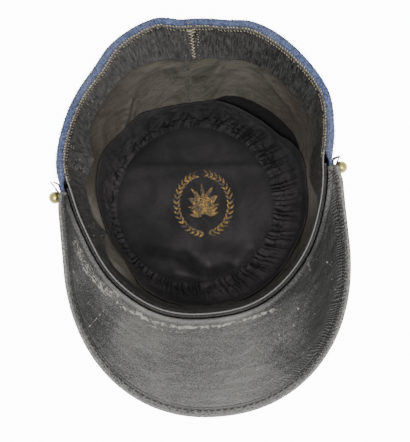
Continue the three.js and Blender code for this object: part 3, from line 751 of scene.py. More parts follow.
@effect("Scratches", {"Amount": 0.5})
def scratches(board, given):
    """Fine straight scratches at three slants, and small bright nicks."""
    place = board.where("Object")
    marks = board.level(board.noise(place, 700.0, 2.0, 0.5), 0.72, 0.76)
    for turn, shift in ((0.7, 3.0), (-0.5, 11.0), (1.9, 23.0)):
        mapping = {"Vector": place, "Rotation": (0, 0, turn), "Location": (shift, shift, 0)}
        turned = board.add("ShaderNodeMapping", mapping).outputs["Vector"]
        line = board.level(board.noise(board.stretched(turned, (1600, 60, 60)), 1.0, 2.0, 0.5), 0.7, 0.76)
        here = board.level(board.noise(turned, 38.0, 2.0), 0.52, 0.7)
        marks = board.math("MAXIMUM", marks, board.math("MULTIPLY", line, here))
    return {"Mask": board.math("MULTIPLY", marks, given["Amount"])}


@effect("Dust", {"Amount": 0.5, "Speck Size": 0.0007})
def dust(board, given):
    """Specks of dust and lint on a thin film."""
    place = board.where("Object")
    scale = board.math("DIVIDE", 1.0, given["Speck Size"])
    specks = board.level(board.noise(place, scale, 2.0, 0.6), 0.69, 0.77)
    film = board.level(board.noise(place, 22.0, 5.0, 0.6), 0.4, 0.75, 0.0, 0.35)
    return {"Mask": board.math("MULTIPLY", board.math("ADD", specks, film, clamp=True), given["Amount"])}


@effect("Weave", {"Thread Pitch": 0.0005})
def weave(board, given):
    """Plain weave of crossed threads, laid by the cloth's own UVs in metres."""
    uv = board.where("UV")
    split = board.add("ShaderNodeSeparateXYZ", {0: uv}).outputs
    turns = board.math("DIVIDE", math.tau, given["Thread Pitch"])
    wobble = board.math("MULTIPLY", board.noise(board.stretched(uv, (160, 160, 160)), 1.0, 3.0), 2.5)
    warp = board.math("SINE", board.math("ADD", board.math("MULTIPLY", split["X"], turns), wobble))
    weft = board.math("SINE", board.math("ADD", board.math("MULTIPLY", split["Y"], turns), wobble))
    return {"Height": board.math("MULTIPLY_ADD", board.math("MULTIPLY", warp, weft), 0.5, 0.5)}


@effect("Wool Nap", {"Hair Size": 0.0006})
def wool_nap(board, given):
    """Short felted hairs of milled wool, and a mottle of tufts and faded places."""
    place = board.where("Object")
    scale = board.math("DIVIDE", 1.0, given["Hair Size"])
    hairs = board.noise(place, scale, 6.0, 0.75, 1.2)
    paler = board.noise(place, 90.0, 6.0, 0.75)
    tufts = board.noise(place, board.math("MULTIPLY", scale, 0.6), 4.0, 0.7)
    mottle = board.math("MULTIPLY_ADD", tufts, 0.8, board.math("MULTIPLY", paler, 0.24))
    return {"Height": hairs, "Mottle": mottle}


def made_once(name, lay_out):
    """The material of a name. The first time, a function lays it out on its board."""
    if name not in bpy.data.materials:
        material = bpy.data.materials.new(name)
        material.use_nodes = True
        material.node_tree.nodes.clear()
        lay_out(Board(material.node_tree))
    return bpy.data.materials[name]


def finish(name):
    """Marks a function that lays out a material from the cap's colours."""

    def marked(lay_out):
        return lambda colours: made_once(name, lambda board: lay_out(board, colours))

    return marked


def times(colour, share, more=0.0):
    """A colour made darker or lighter, up to 1."""
    return tuple(min(c * share + more, 1.0) for c in colour)


@finish("Faded Wool")
def wool(board, colours):
    """Faded blue milled wool, painted near black on its inner face as shade."""
    nap = board.use(wool_nap(), {"Hair Size": 0.0007})
    dark, pale = times(colours.wool, 0.45), times(colours.wool, 1.7, 0.05)
    shade = board.tint(board.level(nap["Mottle"], 0.39, 0.66), dark, pale)
    specks = board.use(dust(), {"Amount": 0.6, "Speck Size": 0.0013})
    dusty = board.tint(specks["Mask"], shade, (0.4, 0.4, 0.4))
    # Painted shade: the inner face is made near black, so that gaps behind the linings look dark.
    colour = board.tint(board.mask("inside"), dusty, (0.004, 0.004, 0.004))
    board.surface(colour, 0.92, nap["Height"], 0.9, sheen=0.05, shine=0.15)


@finish("Sweatband Leather")
def band_leather(board, colours):
    """Black sweatband leather with rubbed places, upright wrinkles and a soft shine."""
    uv = board.where("UV")
    grain = board.use(leather_grain(), {"Grain Size": 0.0007, "Crease Size": 0.005})["Height"]
    hatch = board.noise(board.stretched(uv, (1250, 90, 1)), 1.0, 5.0, 0.75, 0.3)
    strands = board.noise(board.stretched(uv, (260, 110, 1)), 1.0, 6.0, 0.75, 0.5)
    rubbed = board.math("ADD", board.mask("rubbed"), board.level(strands, 0.35, 0.7, -0.26, 0.34))
    hatched = board.level(hatch, 0.36, 0.64, -0.55, 0.8)
    tone = board.math("MULTIPLY_ADD", hatched, 0.7, board.math("MULTIPLY", rubbed, 0.85))
    worn = board.math("MULTIPLY", tone, 0.8, clamp=True)
    shade = board.tint(worn, colours.band_leather, colours.band_rubbed)
    scratched = board.tint(board.use(scratches(), {"Amount": 0.6})["Mask"], shade, (0.26, 0.25, 0.23))
    bright = board.tint(board.mask("edge"), scratched, (0.25, 0.245, 0.235))
    specks = board.use(dust(), {"Amount": 0.4, "Speck Size": 0.0009})
    colour = board.tint(specks["Mask"], bright, (0.26, 0.24, 0.21))
    height = board.math("ADD", grain, board.math("MULTIPLY", hatch, 0.8))
    board.surface(colour, board.level(grain, 0.6, 1.4, 0.42, 0.6), height, 0.32)


@finish("Peak Leather")
def peak_leather(board, colours):
    """Dark peak leather, worn to grey and lightened by a painted reflection, with scuffs, a tooled line and
    slanted tool marks that have painted highlights between them.
    """
    place = board.where("Object")
    split = board.add("ShaderNodeSeparateXYZ", {0: board.where("UV")}).outputs
    grain = board.use(leather_grain(), {"Grain Size": 0.0009, "Crease Size": 0.007})["Height"]
    cloud = board.noise(place, 26.0, 6.0, 0.62, 0.6)
    fine = board.noise(place, 1150.0, 4.0, 0.85)
    # The rubbed mask holds wear and also painted light: a painted reflection in the middle and painted shade
    # on the right.
    rubbed = board.math("ADD", board.mask("rubbed"), board.level(cloud, 0.3, 0.72, -0.22, 0.2))
    speckled = board.math("ADD", rubbed, board.level(fine, 0.32, 0.68, -0.4, 0.4))
    shade = board.tint(board.level(speckled, 0.0, 1.1), colours.peak_leather, colours.peak_rubbed)
    ragged = board.noise(place, 800.0, 5.0, 0.75, 0.6)
    bare = board.level(board.math("MULTIPLY_ADD", ragged, 1.7, board.mask("scuffed")), 1.3, 1.62)
    scuffed = board.tint(bare, shade, colours.peak_scuffed)
    scratched = board.tint(board.use(scratches(), {"Amount": 0.8})["Mask"], scuffed, (0.4, 0.38, 0.33))
    uneven = board.math("MULTIPLY_ADD", board.noise(place, 70.0, 3.0), 0.011, split["X"])
    slanted = board.math("MULTIPLY_ADD", split["Y"], 0.35, uneven)
    marks = board.math("SINE", board.math("MULTIPLY", slanted, math.tau / 0.0022))
    worn = board.level(board.noise(place, 130.0, 4.0, 0.65), 0.33, 0.62, 1.0, 0.45)
    tooled = board.mask("tooled")
    mark = board.math("MULTIPLY", board.math("MULTIPLY", board.level(marks, 0.15, 0.9), worn), tooled)
    # Painted highlight on the leather between the slanted tool marks.
    between = board.math("MULTIPLY", board.level(marks, -0.4, -0.95, 0.0, 0.5), tooled)
    lit = board.tint(between, scratched, times(colours.peak_rubbed, 1.15))
    sunk = board.math("MAXIMUM", mark, board.mask("groove"), clamp=True)
    colour = board.tint(board.math("MULTIPLY", sunk, 0.8), lit, (0.012, 0.012, 0.012))
    lifted = board.math("SUBTRACT", grain, board.math("MULTIPLY", sunk, 1.2))
    height = board.math("SUBTRACT", lifted, board.math("MULTIPLY", bare, 0.5))
    board.surface(colour, board.level(grain, 0.6, 1.4, 0.4, 0.62), height, 0.36)


@finish("Glazed Cotton")
def glazed_cotton(board, colours):
    """Brown-grey glazed cotton with stains, a satin shine, and painted light that makes it paler where it
    lies deep.
    """
    uv = board.where("UV")
    threads = board.use(weave(), {"Thread Pitch": 0.00055})["Height"]
    blotch = board.noise(board.stretched(uv, (45, 70, 1)), 1.0, 7.0, 0.7, 0.8)
    creased = board.noise(board.stretched(uv, (110, 330, 1)), 1.0, 5.0, 0.65, 1.0)
    shade = board.tint(board.level(blotch, 0.4, 0.7), colours.glazed_cotton, colours.cotton_stain)
    brown = board.tint(board.mask("warm"), shade, (0.069, 0.055, 0.045))
    # Painted light: the cloth is made paler where it lies deep in the crown.
    paler = board.tint(board.mask("paler"), brown, (0.31, 0.285, 0.243))
    warm = board.tint(board.level(creased, 0.45, 0.75, 0.0, 0.35), paler, times(colours.glazed_cotton, 1.4))
    specks = board.use(dust(), {"Amount": 0.35, "Speck Size": 0.0006})
    colour = board.tint(specks["Mask"], warm, (0.2, 0.18, 0.14))
    height = board.math("ADD", board.math("MULTIPLY", threads, 0.12), creased)
    board.surface(colour, board.level(blotch, 0.3, 0.8, 0.45, 0.75), height, 0.5)


@finish("Black Cotton")
def black_cotton(board, colours):
    """Dusty black cotton."""
    place = board.where("Object")
    threads = board.use(weave(), {"Thread Pitch": 0.0006})["Height"]
    cloud = board.noise(place, 30.0, 6.0, 0.65, 0.5)
    rumple = board.noise(place, 90.0, 5.0, 0.6, 0.8)
    dark, pale = times(colours.black_cotton, 0.65), times(colours.black_cotton, 1.9)
    shade = board.tint(board.level(cloud, 0.3, 0.75), dark, pale)
    specks = board.use(dust(), {"Amount": 0.28, "Speck Size": 0.0007})
    dusty = board.tint(specks["Mask"], shade, (0.13, 0.115, 0.1))
    colour = board.tint(board.math("MULTIPLY", board.mask("shade"), 0.92), dusty, (0.003, 0.003, 0.003))
    height = board.math("ADD", board.math("MULTIPLY", threads, 0.16), rumple)
    board.surface(colour, 0.8, height, 0.9, sheen=0.03, shine=0.3)


@finish("Button Brass")
def button_brass(board, colours):
    """Rubbed pale brass with darker tarnish in patches."""
    place = board.where("Object")
    share = board.level(board.noise(place, 420.0, 5.0, 0.65, 0.4), 0.45, 0.7)
    dents = board.noise(place, 900.0, 3.0, 0.6)
    colour = board.tint(share, colours.brass, (0.6, 0.47, 0.18))
    board.surface(colour, board.level(share, 0.0, 1.0, 0.3, 0.5), dents, 0.06, metallic=1.0)


@finish("Worn Gilt")
def worn_gilt(board, colours):
    """Gold leaf worn down to the black cotton."""
    place = board.where("Object")
    worn = board.math("ADD", board.noise(place, 160.0, 5.0, 0.7), board.noise(place, 1100.0, 3.0, 0.7))
    rubbed = board.tint(board.level(worn, 0.7, 0.95), colours.gilt, times(colours.gilt, 0.45))
    colour = board.tint(board.level(worn, 0.78, 1.16), rubbed, times(colours.black_cotton, 0.52))
    board.surface(colour, 0.62, worn, 0.15)


def thread_material(name, colour):
    """Twisted thread with a slanted lay."""

    def lay_out(board):
        split = board.add("ShaderNodeSeparateXYZ", {0: board.where("UV")}).outputs
        slant = board.math("MULTIPLY_ADD", split["Y"], 0.8, split["X"])
        lay = board.math("SINE", board.math("MULTIPLY", slant, math.tau / 0.0007))
        fuzz = board.noise(board.where("Object"), 900.0, 4.0, 0.7)
        height = board.math("ADD", board.level(lay, -1, 1), fuzz)
        shade = board.tint(board.level(height, 0.3, 1.3), times(colour, 0.4), colour)
        board.surface(shade, 0.75, height, 0.12, sheen=0.2)

    return made_once(name, lay_out)


def grey_thread():
    """Worn thread of the linings and of the groove behind the peak."""
    return thread_material("Grey Thread", (0.1, 0.095, 0.085))


def even_masks(shape, **values):
    """Masks that are the same all over a piece."""
    return {name: np.full(len(shape[0]), value) for name, value in values.items()}


def cap_of(context):
    """The cap's form and its colours."""
    return KepiForm(context.scene.kepi_sizes), context.scene.kepi_colours


class KEPI_OT_crown_cloth(bpy.types.Operator):
    """Build the crown's wool cloth, from the top's edge to the roll over the rim"""

    bl_idname = "kepi.crown_cloth"
    bl_label = "Crown Cloth"

    def execute(self, context):
        form, colours = cap_of(context)
        angle = np.arange(0, FULL_TURN, 0.5)
        drop = form.peak_drop(angle)
        width = mix(form.wall, form.rim_roll, form.rolled(angle))
        puff = form.puff(angle)
        deep = mix(1.0, form.roll_depth, form.rolled(angle))
        rows = []
        for height, inset in ((0.3, 1.1), (0.6, 0.4), (1.1, 0.0)):
            rows.append(form.wall_point(angle, form.at_height(angle, height), inset))
        top = form.at_depth(angle, deep + drop)
        for s in np.linspace(0.02, 1, 30):
            share = mix(form.at_height(angle, 1.1), top, s)
            dent = wander(angle, 3.0, 1, s * 2) * 0.5 * math.sin(math.pi * s)
            dent = dent + wander(angle, 9.0, 2, s * 5) * 0.16
            rows.append(form.wall_point(angle, share, dent - puff * smoothstep(s, 0.2, 1)))
        for s in np.linspace(0.1, 1, 12):
            inset = mix(-puff, width, (1 - math.cos(math.pi * s)) / 2)
            depth = deep * (1 - math.sin(math.pi * s))
            rows.append(form.wall_point(angle, form.at_depth(angle, depth + drop), inset))
        turned_in = len(rows) - 1
        for s in np.linspace(0.2, 1, 5):
            inset = mix(width, form.wall, smoothstep(s, 0, 1))
            rows.append(form.wall_point(angle, form.at_depth(angle, deep + drop + 3 * s), inset))
        inner_top = form.at_depth(angle, deep + drop + 3)
        for s in np.linspace(0.9, 0, 10):
            share = mix(form.at_height(angle, 0.6), inner_top, s)
            rows.append(form.wall_point(angle, share, form.wall))
        shape = net(np.stack(rows), wrap_rows=True, wrap_columns=True)
        # Painted shade: the inner face is made near black, so that gaps behind the linings look dark.
        masks = {"inside": np.repeat((np.arange(len(rows)) >= turned_in).astype(float), len(angle))}
        piece = make_piece("crown_cloth", shape, wool(colours), ["crown_wall"], masks)
        return {"FINISHED"}


class KEPI_OT_rim_nap(bpy.types.Operator):
    """Raise short loose hairs from the wool along the rim"""

    bl_idname = "kepi.rim_nap"
    bl_label = "Rim Nap"

    def execute(self, context):
        form, colours = cap_of(context)
        chance = np.random.default_rng(23)
        angle = chance.uniform(-89, 89, RIM_HAIRS)
        s = chance.uniform(-0.35, 0.8, RIM_HAIRS)
        roll = np.maximum(s, 0)
        inset = mix(-form.puff(angle), form.rim_roll, (1 - np.cos(np.pi * roll)) / 2)
        depth = form.roll_depth * (1 - np.sin(np.pi * roll)) + 9 * np.maximum(-s, 0)
        root = form.wall_point(angle, form.at_depth(angle, depth), inset)
        middle = form.wall_point(angle, form.at_depth(angle, form.roll_depth), form.rim_roll / 2)
        way = unit(unit(root - middle) + chance.normal(0, 0.6, (RIM_HAIRS, 3)))
        size = chance.uniform(0.5, 1.5, RIM_HAIRS)[:, None]
        end = root + way * size + chance.normal(0, 0.25, (RIM_HAIRS, 3))
        hairs = [tube([a, b], 0.05, 3) for a, b in zip(root - way * 0.1, end)]
        nap = thread_material("Wool Hair", times(colours.wool, 1.5, 0.05))
        make_piece("rim_nap", joined(hairs), nap)
        return {"FINISHED"}


class KEPI_OT_back_seam(bpy.types.Operator):
    """Sew the upright seam of the crown's cloth at the back, with its frayed thread ends"""

    bl_idname = "kepi.back_seam"
    bl_label = "Back Seam"

    def execute(self, context):
        form, colours = cap_of(context)
        parts = []
        for i in range(BACK_STITCHES):
            height = 108 * (0.06 + 0.9 * i / (BACK_STITCHES - 1))
            low, high = form.at_height(BACK_SEAM, height), form.at_height(BACK_SEAM, height + 2.0)
            path = [
                form.wall_point(BACK_SEAM, mix(low, high, t), -0.12 - 0.1 * math.sin(math.pi * t))
                for t in (0, 0.5, 1)
            ]
            parts.append(tube(path, 0.2))
        random.seed(4)
        for _ in range(9):
            angle = BACK_SEAM + random.uniform(-0.9, 0.9)
            inset = random.uniform(0.8, 4.4)
            start = form.wall_point(angle, form.at_depth(angle, 0.2), inset)
            end = start + [random.uniform(-1.3, 1.3), random.uniform(-1.5, 1.5), random.uniform(0.2, 0.9)]
            middle = (start + end) / 2 + [0.2, 0.1, 0.3]
            parts.append(tube([start, middle, end], 0.14, 5))
        thread = thread_material("Tan Thread", colours.tan_thread)
        make_piece("back_seam", joined(parts), thread)
        return {"FINISHED"}


class KEPI_OT_crown_top(bpy.types.Operator):
    """Give the crown's flat top its wool and a row of stitches round its edge"""

    bl_idname = "kepi.crown_top"
    bl_label = "Crown Top"

    def execute(self, context):
        form, colours = cap_of(context)
        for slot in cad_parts["crown_top"].material_slots:
            slot.material = wool(colours)
        parts = []
        for at in np.arange(0, FULL_TURN, TOP_STITCH_PITCH):
            path = [
                form.wall_point(at + turn, form.at_height(at + turn, 3.2), -0.05 - lift)
                for turn, lift in ((0, 0), (0.9, 0.14), (1.8, 0))
            ]
            parts.append(tube(path, 0.16, 5))
        thread = thread_material("Dark Thread", colours.dark_thread)
        make_piece("top_seam", joined(parts), thread)
        return {"FINISHED"}


def sweatband_sheets(form, columns=720, rows=44):
    """The sweatband's two faces, with its puckers, wrinkles and wavy free edge."""
    angle = np.linspace(0, FULL_TURN, columns, endpoint=False)
    down = np.linspace(0, 1, rows)
    turned, s = np.meshgrid(angle, down)
    ragged = 0.012 * wander(angle, 14, 5) + 0.006 * wander(angle, 45, 6)
    s_real = s * (1 + ragged[None, :] * smoothstep(s, 0.5, 1))
    pucker = 0.16 * np.sin(np.radians(turned) * 148) * np.exp(-s / 0.09)
    upright = 0.35 * wander(turned, 16, 7, s * 0.12) * smoothstep(s, 0.02, 0.3)
    slack = 0.45 * wander(turned, 5, 8, s * 0.25) * smoothstep(s, 0.1, 0.7)
    curl = 0.5 * bump_at(s, 1.0, 0.08) * (0.5 + wander(turned, 7, 9))
    away = np.maximum(pucker + upright + slack + curl, -0.15)
    hold = smoothstep(s, 0.0, 0.12)
    outer = form.band_point(turned, s_real, np.maximum(upright + slack + curl, -0.15) * hold)
    inner = form.band_point(turned, s_real, form.band_thickness + away * mix(0.5, 1, hold))
    return turned, s, outer, inner


class KEPI_OT_sweatband(bpy.types.Operator):
    """Build the leather sweatband with its rubbed edge and wrinkles"""

    bl_idname = "kepi.sweatband"
    bl_label = "Sweatband"

    def execute(self, context):
        form, colours = cap_of(context)
        turned, s, outer, inner = sweatband_sheets(form)
        rounding = 0.35
        tip = (outer[-1] + inner[-1]) / 2 + unit(outer[-1] - outer[-2]) * rounding
        high = (outer[0] + inner[0]) / 2 - unit(outer[1] - outer[0]) * rounding
        rows = np.concatenate([outer, tip[None], inner[::-1], high[None]], 0)
        one_row = (1, s.shape[1])
        s_all = np.concatenate([s, np.ones(one_row), s[::-1], np.zeros(one_row)])
        side = np.concatenate([np.zeros_like(s), np.ones(one_row), np.ones_like(s), np.ones(one_row)])
        at = np.broadcast_to(turned[0], s_all.shape)
        rubbed = patches(at, BAND_RUBBED) - 0.45 * bump_at(s_all, 0.06, 0.045)
        crease = 0.28 + 0.05 * np.sin(np.radians(at) * 5)
        fold = 0.6 * around(at, 180, 60) * bump_at(s_all, crease, 0.08)
        edge = 0.16 * bump_at(s_all, 1.0, 0.022) + 0.2 * bump_at(s_all, 0.0, 0.03)
        piece = make_piece(
            "sweatband_leather", net(rows, wrap_rows=True, wrap_columns=True), band_leather(colours),
            ["sweatband"], {"rubbed": (rubbed + fold) * side, "edge": edge},
        )
        return {"FINISHED"}


class KEPI_OT_sweatband_stitches(bpy.types.Operator):
    """Whip the sweatband to the rim, run a bead in front, and zigzag its seam, with loose lint beside it"""

    bl_idname = "kepi.sweatband_stitches"
    bl_label = "Sweatband Stitches"

    def execute(self, context):
        form, colours = cap_of(context)
        thread = thread_material("Tan Thread", colours.tan_thread)
        cream = thread_material("Cream Thread", times(colours.tan_thread, 1.45, 0.04))
        random.seed(11)
        parts = []
        arches = []
        for at in np.arange(-88, 89, WHIP_PITCH):
            a = at + random.uniform(-0.12, 0.12)
            far = form.wall_point(a, form.at_depth(a, -0.5), form.rim_roll + 0.1)
            over = form.wall_point(a + 0.35, form.at_depth(a + 0.35, -1.1), form.rim_roll + 1.1)
            near = form.band_point(a + 0.6, 0.035, form.band_thickness + 0.25)
            arches.append(tube([far, mix(far, over, 0.55) + [0, 0, 0.2], over, near], 0.17, 5))
            level = 0.052 + random.uniform(-0.01, 0.01)
            start = form.band_point(a + 0.3, level - 0.016, form.band_thickness + 0.2)
            middle = form.band_point(a + 0.6, level, form.band_thickness + 0.42)
            end = form.band_point(a + 0.9, level + 0.014, form.band_thickness + 0.1)
            if random.random() > 0.06:
                parts.append(tube([start, middle, end], random.uniform(0.24, 0.36), 6))
        make_piece("whip_stitches", joined(parts), thread)
        along = np.arange(-89, 89.1, 0.2)
        sway = 0.16 * np.sin(np.radians(along) * FULL_TURN / WHIP_PITCH) + 0.25 * wander(along, 30, 51)
        rail = form.wall_point(along, form.at_depth(along, -1.1), form.rim_roll + 0.9 + sway)
        arches.append(tube(rail, 0.15 + 0.05 * wander(along, 60, 52), 6))
        beads = []
        for at in np.arange(-88, 88, BEAD_PITCH):
            if random.random() > 0.1:
                swing = at + random.uniform(-0.1, 0.1) + np.array([0, 0.14, 0.28, 0.42])
                inset = form.rim_roll + 0.9 + random.uniform(-0.3, 0.35) + np.array([-0.2, 0, 0.15, 0.4])
                bead = form.wall_point(swing, form.at_depth(swing, -1.25), inset)
                beads.append(tube(bead, random.uniform(0.2, 0.38), 6))
        dim = thread_material("Dim Thread", times(colours.tan_thread, 0.28))
        make_piece("whip_arches", joined(arches), dim)
        make_piece("rim_thread", joined(beads), cream)
        bead = form.band_point(np.arange(86, 274.1, 0.5), -0.006, form.band_thickness * 0.5)
        shape = tube(bead, 0.44, 10)
        masks = even_masks(shape, rubbed=1.8, edge=1.0)
        make_piece("sweatband_bead", shape, band_leather(colours), masks=masks)
        zig = []
        lift = form.band_thickness + 0.3
        for i in range(SEAM_ZIGZAGS):
            t = i / SEAM_ZIGZAGS
            spread = mix(1.9, 0.62, smoothstep(t, 0, 0.22)) + random.uniform(-0.35, 0.35)
            low, high = 0.03 + 0.93 * t, 0.03 + 0.93 * (t + 1.05 / SEAM_ZIGZAGS)
            spread = -spread if i % 2 else spread
            path = [
                form.band_point(
                    mix(BAND_SEAM + spread, BAND_SEAM - spread, q), mix(low, high, q),
                    lift + 0.35 * math.sin(math.pi * q),
                )
                for q in (0, 0.3, 0.7, 1)
            ]
            zig.append(tube(path, random.uniform(0.16, 0.3), 6))
        for middle, spread, count in BAND_LINT:
            for _ in range(count):
                a, t = middle + random.uniform(-spread, spread), random.uniform(0.12, 0.9)
                turn, size = random.uniform(0, math.tau), random.uniform(0.5, 1.6)
                sideways = math.cos(turn) * size * 0.6
                down = math.sin(turn) * size / form.sweatband_depth
                path = [form.band_point(a + sideways * q, t + down * q, 1.5 + 0.3 * q) for q in (0, 0.5, 1)]
                zig.append(tube(path, 0.1, 5))
        for i in range(9):
            t = 0.2 + 0.085 * i + random.uniform(-0.01, 0.01)
            a = BAND_SEAM + 2.1 + random.uniform(-0.2, 0.3)
            inset = form.band_thickness + 0.25
            path = [form.band_point(a + 0.55 * q, t + 0.012 * q, inset) for q in (0, 0.5, 1)]
            zig.append(tube(path, 0.17, 5))
        make_piece("band_seam_thread", joined(zig), cream)
        return {"FINISHED"}


def lining_sheets(form, columns=600, rows=46):
    """The side lining's two faces with its creases."""
    angle = np.linspace(0, FULL_TURN, columns, endpoint=False)
    turned, s = np.meshgrid(angle, np.linspace(0, 1, rows))
    top = form.at_depth(turned, form.sweatband_depth * form.band_depth(turned) - form.lining_overlap)
    edge = form.at_height(turned, form.lining_edge * form.lining_height(turned))
    away = 0.5 * wander(turned, 6, 12, s * 0.8) + 0.28 * wander(turned, 20, 13, s * 3)
    for at, level, half, slope, width, depth in LINING_CREASES:
        off = apart(turned, at)
        line = level + slope * off + 0.05 * wander(turned, 14, 61)
        away = away + depth * bump_at(s, line, width) * bump_at(off, 0, half)
    share = mix(top, edge, s)
    height = share * form.rim_height(turned)
    covered = smoothstep(form.hem_height * form.hem_level(turned) + 3 - height, 0, 3)
    away = np.clip(away * smoothstep(s, 0, 0.12), -0.35, mix(5.0, 0.25, covered))
    outer = form.wall_point(turned, share, form.wall + form.loose + away)
    inner = form.wall_point(turned, share, form.wall + form.loose + form.lining_thickness * 0.8 + away)
    return outer, inner


class KEPI_OT_side_lining(bpy.types.Operator):
    """Hang the creased lining of the crown's sides, with its seam at the back"""

    bl_idname = "kepi.side_lining"
    bl_label = "Side Lining"

    def execute(self, context):
        form, colours = cap_of(context)
        outer, inner = lining_sheets(form)
        shape = ring(outer, inner)
        at = np.linspace(0, FULL_TURN, outer.shape[1], endpoint=False)
        masks = {
            "warm": np.tile(np.minimum(patches(at, LINING_WARM), 1), 2 * len(outer)),
            # Painted light: paler where the lining lies deep in the crown.
            "paler": np.tile(np.minimum(patches(at, LINING_PAINTED_LIGHT), 1), 2 * len(outer)),
        }
        piece = make_piece(
            "side_lining_cloth", shape, glazed_cotton(colours), ["side_lining"], masks
        )
        parts = []
        for at in SIDE_LINING_SEAM:
            s = np.linspace(0.02, 0.98, 40)
            top = form.at_depth(at, form.sweatband_depth * form.band_depth(at) - form.lining_overlap)
            low = form.at_height(at, form.lining_edge * form.lining_height(at))
            path = form.wall_point(np.full(s.shape, at), mix(top, low, s), form.wall + form.loose + 1.3)
            parts.append(tube(path, 0.24, 6))
        thread = thread_material("Brown Thread", times(colours.glazed_cotton, 0.6))
        make_piece("side_lining_seam", joined(parts), thread)
        return {"FINISHED"}


